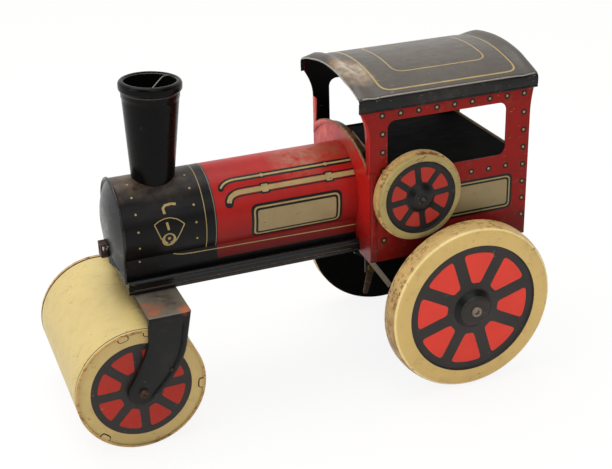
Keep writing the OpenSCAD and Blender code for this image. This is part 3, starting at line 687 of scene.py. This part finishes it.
art = Art()
spokes(art, on_wheel(fly_x, fly_disc, fly_z, 1, INK), first=16, inner=6.4, outer=12.5, gap=2.7)
art.lay("flywheel_sectors", roller_red, "flywheel", "red_litho")

# Front roller: rolled drum with a seam near each end, end discs printed as wheels, and folded tabs
TAB_ANGLES = (77, 101, 187, 312)
TAB_CORNERS = ((25.0, 1.9), (22.9, 1.7), (22.9, -1.7), (25.0, -1.9))
TAB_LIFT, TAB_SHEET, TAB_GAP = 0.35, 0.34, 0.9
drum_x, drum_z, drum_r, _, drum_y = wheel_box("roller_drum")
cream, seam, worn = range(3)
profile = [
    (drum_r - 1.1, 0.05 - drum_y, worn),
    (drum_r - 0.1, 0.1 - drum_y, worn),
    (drum_r, 0.5 - drum_y, worn),
    (drum_r, 1.9 - drum_y, seam),
    (drum_r - 0.4, 2.4 - drum_y, seam),
    (drum_r, 2.9 - drum_y, cream),
    (drum_r, 4.5 - drum_y, cream),
    (drum_r, drum_y - 4.0, cream),
    (drum_r, drum_y - 1.6, seam),
    (drum_r - 0.2, drum_y - 1.35, seam),
    (drum_r, drum_y - 1.1, cream),
    *bend(drum_r - 0.3, drum_y - 0.35, 0.3, 0, 80, worn, 4),
    (drum_r - 1.1, drum_y - 0.05, worn),
]
finishes = [cream_litho, seam_brown, worn_cream]
place = across(drum_x, 0, drum_z, 1)
lathe("roller_drum_sheet", place, profile, finishes, "roller", "cream_litho", ["roller_drum"], FINE_TURNS)
face = drum_y - 0.5
finishes = [face_cream, wheel_black_and_sheen, seam_brown]
cream, black, seam = range(3)
profile = [
    (drum_r - 0.55, face - 0.5, seam),
    (drum_r - 0.6, face, seam),
    (drum_r - 0.95, face + 0.03, cream),
    (19.9, face, black),
    (19.7, face, black),
    (1.4, face, black),
]
for name, side in SIDES:
    place = across(drum_x, 0, drum_z, side)
    replaced = [f"roller_end_{name}"]
    lathe(f"roller_end_{name}_disc", place, profile, finishes, "roller", "cream_litho", replaced)
    wheel = (drum_x, side * face, drum_z, side)
    art = Art()
    spokes(art, on_wheel(*wheel, INK), first=21, inner=8.7, outer=17.3, gap=3.7)
    art.lay(f"roller_sectors_{name}", roller_red, "roller", "red_litho")
    tabs = Art()
    gaps = Art()
    for angle in TAB_ANGLES:
        out = Vector((math.cos(math.radians(angle)), math.sin(math.radians(angle))))
        aside = Vector((-out.y, out.x))
        outline = rounded([out * reach + aside * half for reach, half in TAB_CORNERS], 0.8)
        tabs.fill(on_wheel(*wheel, TAB_LIFT), outline)
        gaps.stripe(on_wheel(*wheel, 0.05), outline, TAB_GAP, closed=True)
    tabs.lay(f"roller_tabs_{name}", face_cream, "roller", "cream_litho", TAB_SHEET)
    gaps.lay(f"roller_tab_gaps_{name}", seam_brown, "roller", "black_litho")

# Chimney: tapered pipe with a collar and a rolled rim, raked a little to the rear
CHIMNEY_X, CHIMNEY_RAKE = 53.75, -3
CHIMNEY_FOOT, CHIMNEY_FOOT_R, CHIMNEY_FLARE, CHIMNEY_LENGTH, CHIMNEY_SHEET = -5.4, 8.1, 3.3, 41.8, 0.5
place = Matrix.Translation((CHIMNEY_X, 0, boiler_z + boiler_r))
place = place @ Matrix.Rotation(math.radians(CHIMNEY_RAKE), 4, "Y")
finishes = [chimney_litho, wheel_black_and_sheen, inside_black, grey_ink_and_highlight]
black, collar, inside, highlight = range(4)
taper = []
for height in (CHIMNEY_FOOT, 0, 10, 20, 30, 31.4):
    radius = CHIMNEY_FOOT_R + CHIMNEY_FLARE * (height - CHIMNEY_FOOT) / CHIMNEY_LENGTH
    taper.append((radius, height, black))
# Painted highlights: a dark grey line on the collar, and a grey line just inside the rim
profile = (
    taper
    + [(11.25, 31.7, black), (11.25, 33.3, collar), (11.35, 33.6, collar)]
    + bend(10.75, 35.2, 1.45, -65, 0, black, 6)
    + bend(10.75, 36.5, 1.45, 0, 110, black, 9)
    + bend(11.1, 36.6, 1.05, 125, 140, highlight, 2)
    + bend(11.1, 36.6, 1.05, 145, 180, inside, 2)
    + [(radius - CHIMNEY_SHEET, height, inside) for radius, height, _ in reversed(taper)]
)
lathe("chimney_pipe", place, profile, finishes, "engine", "black_litho", ["chimney"])
# Edge of a strip curled inside the mouth
CURL_HEIGHT, CURL_R = 37.5, 0.24
turning = (-5.35, -2.65)
curl = curve((1.7, 9.9), (-1.2, 4.4), turning, 8) + curve(turning, (-7.2, -5.4), (-9.3, -4.3), 5)[1:]
path = [place @ Vector((x, y, CURL_HEIGHT)) for x, y in curl]
wire("chimney_curl", [path], CURL_R, grey_ink_and_highlight, "engine")


# Roof: an arched sheet with a rolled rim and a shallow gutter at each end, and rounded eaves

EAVE_R = 2.0
eave_y = roof_y - EAVE_R
eave_angle = math.asin(eave_y / (roof_r - EAVE_R))
eave_z = roof_axis + (roof_r - EAVE_R) * math.cos(eave_angle)
eave_s = roof_r * eave_angle
# Distance from the end of the roof, and how far the sheet stands off its arch there
ROOF_RIM = ((-0.6, -1.7), (-0.4, -0.3), (0.3, 0.75), (1.6, 1.25), (3.2, 1.0))
ROOF_RIM += ((4.8, 0.1), (6.2, -0.45), (7.8, -0.3), (9.4, 0.0))
ROOF_BETWEEN = (-0.5, -0.1, 0.9, 2.4, 4.0, 5.5, 7.0, 8.6)
ROOF_FLAT_ROWS, ROOF_FLAT_STEP = 9, 5.7
# How far from the eaves the rim fades, what it loses there, and how far the corners are pressed down
RIM_FADE, RIM_LOSS, CORNER_DROP, CORNER_REACH = 14, 0.7, 0.3, 13
# Rolled lower edge of the eaves: how far in from the roof's side, and how far above its lowest point
EAVE_EDGE = ((0.0, 1.5), (0.25, 0.9), (0.0, 0.4), (0.2, 0.0))


def ease(t):
    """Goes softly from 0 to 1 as t does, and stays there."""
    t = min(1.0, max(0.0, t))
    return t * t * (3 - 2 * t)


def roof_height(x, s):
    """How far the roof stands off its arch at a place along and across it.

    The rim fades out towards the eaves, where the corners are pressed down.
    """
    end = min(roof_high.x - x, x - roof_low.x)
    share = ease((abs(s) - eave_s + RIM_FADE) / RIM_FADE)
    fade = 1 - RIM_LOSS * share
    corner = CORNER_DROP * share * (1 - ease(end / CORNER_REACH))
    for (a, first), (b, last) in zip(ROOF_RIM, ROOF_RIM[1:]):
        if end <= b:
            return (first + (last - first) * ease((end - a) / (b - a))) * fade - corner
    return -corner


def on_roof(lift):
    """Lengths along the roof and across it over the arch."""

    def place(x, s):
        radius = roof_r + roof_height(x, s) + lift
        angle = s / roof_r
        return (x, radius * math.sin(angle), roof_axis + radius * math.cos(angle))

    return place


rows = [roof_low.x + d for d, _ in ROOF_RIM] + [roof_low.x + d for d in ROOF_BETWEEN]
rows += [roof_high.x + roof_low.x - x for x in rows]
rim_end = roof_low.x + ROOF_RIM[-1][0]
rows += [rim_end + ROOF_FLAT_STEP * i for i in range(1, ROOF_FLAT_ROWS + 1)]
rows = sorted(set(round(x, 3) for x in rows))
arch = [eave_s * i / 24 for i in range(-24, 25)]
surface = on_roof(0)
points = []
for x in rows:
    section = [surface(x, s) for s in arch]
    drop = roof_height(x, eave_s)
    for side in (1, -1):
        edge = []
        for k in range(1, 9):
            a = (math.pi / 2 - eave_angle) * (1 - k / 8)
            edge.append((x, side * (eave_y + EAVE_R * math.cos(a)), eave_z + EAVE_R * math.sin(a) + drop))
        edge += [(x, side * (roof_y - inwards), roof_low.z + above) for inwards, above in EAVE_EDGE]
        section = section + edge if side > 0 else list(reversed(edge)) + section
    points += section
width = len(points) // len(rows)
faces = [
    (i * width + k, i * width + k + 1, (i + 1) * width + k + 1, (i + 1) * width + k)
    for i in range(len(rows) - 1)
    for k in range(width - 1)
]
piece("roof_sheet", points, faces, [roof_litho], "engine", "black_litho", replaced=["roof"], thick=0.5)
art = Art()
for x0, x1, s, width in ((-31.3, -90.3, 28.4, 0.8), (-41.4, -82.0, 17.6, 0.6)):
    art.stripe(on_roof(INK), frame_outline(x0, x1, -s, s, 5.0), width, closed=True)
art.lay("roof_lines", gold_ink, "engine", "brass")
# Painted highlight along the roof's edge: a pale bead along the crease above each eave and round each end
CREASE_ANGLE, HIGHLIGHT_R = math.radians(36), 0.26
crease_y = eave_y + EAVE_R * math.cos(CREASE_ANGLE)
crease_z = eave_z + EAVE_R * math.sin(CREASE_ANGLE)
crease_rows = [x for x in rows if roof_low.x + 0.4 < x < roof_high.x - 0.4]
paths = [[(x, y, crease_z + roof_height(x, eave_s)) for x in crease_rows] for y in (crease_y, -crease_y)]
for x in (roof_low.x - 0.5, roof_high.x + 0.5):
    paths.append([on_roof(-0.2)(x, s) for s in arch])
wire("roof_edge_painted_highlight", paths, HIGHLIGHT_R, roof_edge_highlight, "engine")

# Boiler print, in lengths along the boiler and down its side from the top line
gold = Art()
dark = Art()
grey = Art()
tan = Art()
degree = boiler_r * math.radians(1)
ROUND_END = 123.5 * degree
RING_X, RED_END_X = 38.6, 34.7
# Columns of dots on the smokebox: their places, and the first dot and the steps in degrees from the top
DOT_COLUMNS, DOTS, DOT_FIRST, DOT_STEP, DOT_R = (65.3, 42.5), 5, 16, 21.9, 0.45
NECK_DOT_Z, NECK_DOT_R = 69.2, 0.4
PRINT_REAR = -25.0
# Each pipe: place down the side, width, elbow at its front end, and length and height of its sleeves
PIPES = (
    (36.8 * degree, 0.8, ((22.5, 0), (28.5, -0.4), (30.6, 2.8)), 1.3, 0.7),
    (54.4 * degree, 1.9, ((21.5, 0), (27.8, -0.2), (28.5, 3.6)), 2.7, 1.3),
)
SLEEVES_X = (-14.0, 13.1)
BOILER_PLATE = (-18.3, 20.2, 72.5 * degree, 120 * degree)
LOW_LINE = ((PRINT_REAR, 67.8), (44.0, 68.9), (48.0, 69.1), (50.5, 69.6), (51.8, 70.1))
# Gauge on the smokebox: a fan with a pointer, an eye and a lever above it
FAN = ((58.9, 23.9), (57.2, 22.9), (55.0, 22.2), (52.5, 22.1), (50.0, 23.0), (48.4, 24.2), (47.2, 25.4))
FAN_FRONT = ((58.9, 23.9), (56.9, 29.6), (56.0, 31.2))
FAN_REAR = ((47.2, 25.4), (50.3, 30.8), (51.3, 32.3))
POINTER = ((54.0, 23.7), (53.5, 26.8))
EYE_X, EYE_S = 53.6, 30.3
LEVER = ((54.3, 20.4), (54.6, 18.2), (53.6, 17.2), (51.2, 16.9), (49.3, 17.3))
GAUGE = ((FAN, 0.35), (FAN_FRONT, 0.4), (FAN_REAR, 0.4), (POINTER, 0.9))
for side in (1, -1):
    surface = on_boiler(0.05)
    for art, x, width in ((gold, RING_X, 0.3), (grey, RED_END_X, 0.4)):
        art.stripe(surface, dense([(x, 0), (x, side * ROUND_END)]), width)
    for x in DOT_COLUMNS:
        for step in range(DOTS):
            gold.dot(on_boiler(0.06), x, side * (DOT_FIRST + DOT_STEP * step) * degree, DOT_R)
    # Pipes with sleeves: a gold line on a wider dark one
    for s, width, elbow, sleeve, swell in PIPES:
        path = dense([(PRINT_REAR, side * s)] + [(x, side * (s + d)) for x, d in curve(*elbow)])
        tip_x, tip_s = elbow[2]
        dark.stripe(on_boiler(0.04), path, width + 1.7)
        gold.stripe(on_boiler(0.08), path, width)
        dark.dot(surface, tip_x, side * (s + tip_s + 0.3), width / 2 + 0.75, 30)
        for x in SLEEVES_X:
            for art, lift, more in ((dark, 0.06, 0.65), (gold, 0.1, 0.0)):
                half_x, half_s = sleeve / 2 + more, (width + swell) / 2 + more
                box = (x - half_x, x + half_x, side * s - half_s, side * s + half_s)
                art.fill(on_boiler(lift), frame_outline(*box, 0.6))
    inks = ((dark, 0.04, 0.0, 3.0), (gold, 0.07, 1.1, 2.2), (dark, 0.1, 1.8, 1.7), (tan, 0.13, 2.7, 1.0))
    bare_plate(on_boiler, BOILER_PLATE, inks, side, rings=6)
    # Lowest dot of the front column, and a thin line low on the boiler that curves up at its front end
    neck = on_side(side * neck_y, 0.05)
    gold.dot(neck, DOT_COLUMNS[0], NECK_DOT_Z, NECK_DOT_R)
    gold.stripe(neck, dense(LOW_LINE), 0.38)
    for path, width in GAUGE:
        gold.stripe(surface, dense([(x, side * s) for x, s in path]), width)
    gold.dot(surface, EYE_X + 0.1, side * (EYE_S + 0.6), 2.8, 40)
    dark.dot(on_boiler(0.08), EYE_X, side * EYE_S, 1.7, 30)
    gold.dot(on_boiler(0.11), EYE_X, side * EYE_S, 0.6)
    gold.stripe(surface, dense([(x, side * s) for x, s in LEVER]), 1.0)
gold.lay("boiler_gold_lines", gold_ink, "engine", "brass")
dark.lay("boiler_black_lines", black_ink_and_shade, "engine", "black_litho")
grey.lay("boiler_grey_lines", grey_ink_and_highlight, "engine", "bare_steel")
tan.lay("boiler_plates", tan_ink, "engine", "cream_litho")

# Cab print: rows of rivets and a bare plate on each side
gold = Art()
dark = Art()
tan = Art()
RIVET_R, RIVET_HEAD_R = 1.3, 0.55
CAB_PLATE = (-88.9, -33.8, 69.3, 85.0)
# Rivets in a row under the roof, a column down each pillar and a row along the sill
rivets = [(-30.4 - 7.78 * i, 118.4) for i in range(9)]
rivets += [(-30.5 - 0.1 * i, 118.4 - 7.55 * i) for i in range(1, 8)]
rivets += [(-92.7 - 0.18 * i, 118.0 - 7.52 * i) for i in range(1, 8)]
rivets += [(-38.4 - 7.85 * i, 88.6) for i in range(7)]
for side in (1, -1):
    for x, z in rivets:
        dark.dot(on_side(side * cab_y, 0.04), x, z, RIVET_R, 24)
        gold.dot(on_side(side * cab_y, 0.07), x, z, RIVET_HEAD_R)
    inks = ((dark, 0.04, 0.0, 3.0), (gold, 0.06, 1.0, 2.2), (dark, 0.08, 1.6, 1.8), (tan, 0.1, 2.4, 1.2))
    bare_plate(lambda lift: on_side(side * cab_y, lift), CAB_PLATE, inks)
gold.lay("cab_gold_print", gold_ink, "engine", "brass")
dark.lay("cab_black_print", black_ink_and_shade, "engine", "black_litho")
tan.lay("cab_plates", tan_ink, "engine", "cream_litho")

# Worn bead along the arch of the front wall, whose far top corner is bent up
CORNER_LIFT, BEAD_R, BEAD_DEPTH = 3.3, 0.55, 0.2
arch_half = front_high.y
arch_rise = arch_top - sill_z
arch_r = (arch_half**2 + arch_rise**2) / (2 * arch_rise)
arch_span = math.asin(arch_half / arch_r)
bead_r = arch_r - BEAD_DEPTH
path = []
points = []
for i in range(41):
    angle = arch_span * (i / 20 - 1)
    y, z = bead_r * math.sin(angle), arch_top - arch_r + bead_r * math.cos(angle)
    lift = CORNER_LIFT * (min(0.0, y) / arch_half) ** 2
    path.append((cab_front_x - 0.3, y, z + lift))
    if y <= 0:
        points += [(cab_front_x + 0.02, y, z - 0.4), (cab_front_x + 0.02, y, z + lift)]
wire("arch_bead", [path], BEAD_R, worn_edge, "engine")
faces = [(k, k + 1, k + 3, k + 2) for k in range(0, len(points) - 2, 2)]
piece("front_wall_bent_corner", points, faces, [front_litho], "engine", "red_litho", thick=0.4)

# Flanges of the front wall, turned round the corners of the cab
FLANGE_SHEET = 0.3
outline = rounded([(-25.3, 57.0), (-28.1, 56.8), (-28.1, 94.6), (-25.3, 95.6)], 0.5)
for name, side in SIDES:
    flange = Art()
    flange.fill(on_side(side * cab_y, FLANGE_SHEET), outline)
    finishes = [cab_litho[side]]
    mesh = (flange.points, flange.faces)
    piece(f"corner_flange_{name}", *mesh, finishes, "engine", "red_litho", thick=FLANGE_SHEET)

# Front edges of the cab sides, folded in above the front wall and flared to the roof.
# On the far side the flare is hidden, and the fold ends below it
FOLD_LEAST, FOLD_MOST, FOLD_GROWTH, FOLD_LOSS = 3.0, 4.2, 0.1, 2.6
flare_low = cab_high.z - 17
fold_x = cab_front_x + 0.05
edge = [(fold_x, arch_top - 11), (fold_x, flare_low)]
edge += curve(edge[-1], (fold_x, (flare_low + roof_low.z) / 2), (cab_high.x + 0.05, roof_low.z))[1:]
for name, side in SIDES:
    points = []
    run = edge if side > 0 else edge[:2]
    for x, z in run:
        top = max(0.0, (z - flare_low) / (roof_low.z - flare_low))
        fold = min(FOLD_MOST, FOLD_LEAST + FOLD_GROWTH * max(0, z - sill_z)) - FOLD_LOSS * top**2
        points += [(x, side * cab_y, z), (x, side * (cab_y - fold), z)]
    faces = [(2 * i, 2 * i + 1, 2 * i + 3, 2 * i + 2) for i in range(len(run) - 1)]
    piece(f"pillar_fold_{name}", points, faces, [front_litho], "engine", "red_litho", thick=0.25)


# Eyelets on the ends of the axles


def eyelet(name, place, radius, hole, finish, body, replaced=()):
    """A rolled hollow rivet head that faces along the local Z axis of place."""
    ring = (radius - hole) / 2
    rim = bend(hole + ring, 0, ring, 0, 180, 0, 8)
    profile = [(radius, -0.3, 0)] + rim + [(hole, -0.6, 1), (0.02, -0.6, 1)]
    lathe(name, place, profile, [finish, inside_black], body, "bare_steel", replaced, 32)


axle_out = box_mm("roller_axle")[1].y
for name, side in SIDES:
    hub = f"rear_hub_{name}"
    hub_x, hub_z, _, _, hub_out = wheel_box(hub)
    place = across(hub_x, side * (hub_out - 0.6), hub_z, side)
    eyelet(f"{hub}_eyelet", place, 2.2, 0.9, hub_tin, "rear_axle", [hub])
    place = across(drum_x, side * axle_out, drum_z, side)
    eyelet(f"roller_axle_eyelet_{name}", place, 1.4, 0.6, rusty_steel, "fork")

# Fork: a crown across the roller and two arms, bent from one sheet, with a bead along the rear of each arm
CROWN_WIDTH, CROWN_LIP, FORK_RAKE, FORK_END, FORK_SHEET, FORK_LIP = 16.6, 2.2, 2.6, 5.8, 0.7, 1.6
fork_low, fork_high = box_mm("fork")
crown_rear, crown_front, crown_top = fork_low.x, fork_low.x + CROWN_WIDTH, fork_high.z
knee = crown_top - 10


def end_point(degrees):
    """A place on the round end of an arm."""
    angle = math.radians(degrees)
    return Vector((drum_x + FORK_END * math.cos(angle), drum_z + FORK_END * math.sin(angle)))


corners = [Vector((crown_rear, crown_top)), Vector((crown_front, crown_top))]
front_edge = curve((crown_front + FORK_RAKE / 5, knee), (crown_front + FORK_RAKE, knee - 8), end_point(15))
arm_end = [end_point(15 - 160 * i / 14) for i in range(1, 14)]
heel = (crown_rear + 2 * FORK_RAKE, drum_z + FORK_END)
rear_edge = curve(end_point(215), heel, (crown_rear + FORK_RAKE, knee - 4))
outline = dense(corners + front_edge + arm_end + rear_edge + corners[:1], 1.6)[:-1]
# Points close to the square corners would fold over when the outline is inset
outline = [p for p in outline if all((p - c).length < 1e-6 or (p - c).length > 3.3 for c in corners)]
# The bead runs down the rear edge and fades out at both ends
bead = []
for p in outline:
    behind = drum_x - 2 - p.x if p.x < crown_rear + 7 or p.y < knee - 6 else 0.0
    below = crown_top - 0.5 - p.y
    bead.append(max(0.0, min(1.0, behind / 4)) * max(0.0, min(1.0, below / 3)))
# Rings of an arm from its inner face over the edge to its outer face: inset, reach out, rise of the bead
ARM_RINGS = (
    (FORK_SHEET, -FORK_SHEET, 0.0),
    (FORK_SHEET, -FORK_SHEET - FORK_LIP, 0.0),
    (0.0, -FORK_SHEET - FORK_LIP, 0.0),
    (0.0, -0.8, 0.0),
    (0.25, -0.25, 0.1),
    (0.8, 0.0, 0.35),
    (1.5, 0.0, 0.4),
    (2.0, 0.0, -0.3),
    (2.4, 0.0, -0.5),
    (3.0, 0.0, 0.0),
)
points = []
faces = []
count = len(outline)
for side in (1, -1):
    start = len(points)
    for distance, out, rise in ARM_RINGS:
        for p, share in zip(inset(outline, distance), bead):
            points.append((p.x, side * (fork_high.y + out + rise * share), p.y))
    for k in range(len(ARM_RINGS) - 1):
        faces += band(start + k * count, start + (k + 1) * count, count)
    faces.append(tuple(range(start, start + count)))
    faces.append(tuple(range(len(points) - count, len(points))))
lip_z, under_z = crown_top - CROWN_LIP, crown_top - FORK_SHEET
section = [
    (crown_front, lip_z),
    (crown_front, crown_top),
    (crown_rear, crown_top),
    (crown_rear, lip_z),
    (crown_rear + FORK_SHEET, lip_z),
    (crown_rear + FORK_SHEET, under_z),
    (crown_front - FORK_SHEET, under_z),
    (crown_front - FORK_SHEET, lip_z),
]
start = len(points)
crown_half = fork_high.y - FORK_SHEET - FORK_LIP
for y in (-crown_half, crown_half):
    points += [(x, y, z) for x, z in section]
faces += band(start, start + len(section), len(section))
piece("fork_plate", points, faces, [fork_litho], "fork", "black_litho", replaced=["fork"], sharp=50)
place = across(61.8, fork_high.y - 0.1, 33.2, 1)
profile = [(0.75, -0.2, 0), (0.7, 0.25, 0), (0.35, 0.5, 0), (0.02, 0.55, 0)]
lathe("fork_rivets", place, profile, [rusty_steel], "fork", "bare_steel", turns=20)

# Front plate of the smokebox: a shallow dome with a rolled rim that runs down the neck to the deck
plate_low, plate_high = box_mm("smokebox_front")
rim = plate_high.y - boiler_r
shoulder = math.degrees(math.asin(neck_y / boiler_r))
outline = [Vector((-neck_y, plate_low.z)), Vector((-neck_y, (plate_low.z + boiler_z) / 2 - 5))]
for i in range(65):
    angle = math.radians((180 - shoulder) * (i / 32 - 1))
    outline.append(Vector((boiler_r * math.sin(angle), boiler_z + boiler_r * math.cos(angle))))
outline += [Vector((-p.x, p.y)) for p in reversed(outline[:2])]
# Rings of the rim, in shares of its height, and then of the dome: inset and rise
RIM_RINGS = ((-0.5, 0.0), (-1, 0.6), (-0.7, 1.5), (0.0, 2), (0.7, 1.6), (1.1, 1), (1.3, 0.8))
DOME_DEPTHS, DOME_EDGE, DOME_MIDDLE = (2.5, 4.0, 6.0, 8.0, 10.0, 12.0), 0.8 * rim, 14
dome_rise = plate_high.x - plate_low.x - DOME_EDGE
rings = [(distance * rim, rise * rim) for distance, rise in RIM_RINGS]
for depth in DOME_DEPTHS:
    rings.append((depth, DOME_EDGE + dome_rise * (1 - ((DOME_MIDDLE - depth) / 13) ** 2)))
points = []
faces = []
count = len(outline)
for k, (distance, rise) in enumerate(rings):
    points += [(plate_low.x + rise, p.x, max(p.y, plate_low.z)) for p in inset(outline, distance)]
    if k:
        faces += band((k - 1) * count, k * count, count)
faces.append(tuple(range(len(points) - count, len(points))))
finishes = [plate_litho]
replaced = ["smokebox_front"]
piece("smokebox_front_plate", points, faces, finishes, "engine", "black_litho", None, replaced, sharp=60)

# Worn lines: the lower edge of the running board, and the bare edge of the chassis ahead of the rear wheels
worn = Art()
bare = Art()
for side in (1, -1):
    worn.stripe(on_side(side * chassis_y, 0.05), dense([(-22.0, 58.6), (69.0, 58.6)]), 0.25)
    bare.stripe(on_side(side * chassis_y, 0.06), dense([(-26.2, 57.6), (-39.6, 37.6)]), 2.2)
worn.lay("running_board_worn_line", worn_edge, "engine", "black_litho")
bare.lay("chassis_bare_edge", bare_edge, "engine", "bare_steel")
# Bar that lies across the cab on its tray
BAR_R = 0.6
bar_z = box_mm("cab_tray")[1].z + BAR_R
path = [(-39.2, -20.3, bar_z), (-32.5, 28.6, bar_z)]
wire("cab_bar", [path], BAR_R, worn_edge, "engine")

# Camera: its angles in radians, and its place across, up and back from the point that it looks at
LENS, SENSOR = 72.03, 36
AZIMUTH, ELEVATION, ROLL = 0.36170, 0.43816, -0.02973
LOOKS_AT, ASIDE, RAISED, AWAY = Vector((38.65, 0, 79.7)), 44.91, -9.495, 487.72
camera_data = bpy.data.cameras.new("camera")
camera_data.sensor_width = SENSOR
camera_data.lens = LENS
camera = bpy.data.objects.new("camera", camera_data)
bpy.context.scene.collection.objects.link(camera)
bpy.context.scene.camera = camera
flat = math.cos(ELEVATION)
back = Vector((math.sin(AZIMUTH) * flat, math.cos(AZIMUTH) * flat, math.sin(ELEVATION)))
level = Vector((0, 0, 1)).cross(back).normalized()
upright = back.cross(level)
right = math.cos(ROLL) * level + math.sin(ROLL) * upright
up = -math.sin(ROLL) * level + math.cos(ROLL) * upright
stands = LOOKS_AT + ASIDE * right + RAISED * up + AWAY * back
camera.matrix_world = Matrix.Translation(stands * MM) @ Matrix((right, up, back)).transposed().to_4x4()


# Floor and light


def ray_mask(tree, *kinds):
    """1 for rays of any of those kinds, and 0 for the rest."""
    mask = 0.0
    for kind in kinds:
        rays = add(tree, "LightPath", {}, out=f"Is {kind} Ray")
        mask = add(tree, "Math", {0: mask, 1: rays}, operation="MAXIMUM")
    return mask


# White paper, 12 metres wide
REACH = 6.0
WHITE = (1, 1, 1, 1)
PAPER_GLOW = 0.88
floor_mesh = bpy.data.meshes.new("floor")
corners = [(-REACH, -REACH, 0), (REACH, -REACH, 0), (REACH, REACH, 0), (-REACH, REACH, 0)]
floor_mesh.from_pydata(corners, [], [(0, 1, 2, 3)])
floor = bpy.data.objects.new("floor", floor_mesh)
bpy.context.scene.collection.objects.link(floor)
paper = bpy.data.materials.new("white_paper")
paper.use_nodes = True
tree = paper.node_tree
tree.nodes.clear()
matte = add(tree, "BsdfDiffuse", {"Color": srgb("#f4f1ec")})
glow = add(tree, "Emission", {"Color": WHITE, "Strength": 1.0})
# The camera, and reflections in metal and varnish, see the paper nearly white; its shadow stays
seen = ray_mask(tree, "Camera", "Glossy", "Transmission")
share = add(tree, "Math", {0: seen, 1: PAPER_GLOW}, operation="MULTIPLY")
both = add(tree, "MixShader", {0: share, 1: matte, 2: glow})
add(tree, "OutputMaterial", {"Surface": both})
floor_mesh.materials.append(paper)

# Studio: the white backdrop behind the toy is bright, and the side that the toy faces is dim
world = bpy.data.worlds.new("studio")
bpy.context.scene.world = world
world.use_nodes = True
tree = world.node_tree
tree.nodes.clear()
facing = add(tree, "SeparateXYZ", {0: add(tree, "TexCoord", {}, out="Generated")}, out=Y)
span = {"Value": facing, "From Min": -0.4, "From Max": 0.5, "To Min": 0.9, "To Max": 0.12}
soft = add(tree, "Background", {"Color": WHITE, "Strength": add(tree, "MapRange", span)})
plain = add(tree, "Background", {"Color": WHITE, "Strength": 1.0})
# Reflections show the same white backdrop where it stands, behind the toy
behind = add(tree, "MapRange", {"Value": facing, "From Min": -0.1, "From Max": -0.5})
seen = add(tree, "Math", {0: ray_mask(tree, "Glossy", "Transmission"), 1: behind}, operation="MULTIPLY")
seen = add(tree, "Math", {0: seen, 1: ray_mask(tree, "Camera")}, operation="MAXIMUM")
both = add(tree, "MixShader", {0: seen, 1: soft, 2: plain})
add(tree, "OutputWorld", {"Surface": both})


def lamp(name, place, size, power):
    """A square soft box that faces the toy. Its place and size are in metres, and its power in watts."""
    data = bpy.data.lights.new(name, "AREA")
    data.size = size
    data.energy = power
    obj = bpy.data.objects.new(name, data)
    bpy.context.scene.collection.objects.link(obj)
    obj.location = place
    towards = Vector((0, 0, 0.06)) - Vector(place)
    obj.rotation_mode = "QUATERNION"
    obj.rotation_quaternion = towards.to_track_quat("-Z", "Y")


lamp("soft_box_above", (0.1, -0.15, 1.1), 1.0, 9)
lamp("soft_box_front", (1.0, 0.2, 0.5), 0.6, 2.5)
lamp("soft_box_left", (-0.1, 1.1, 0.9), 1.0, 5.5)

bpy.context.scene.view_settings.view_transform = "Standard"
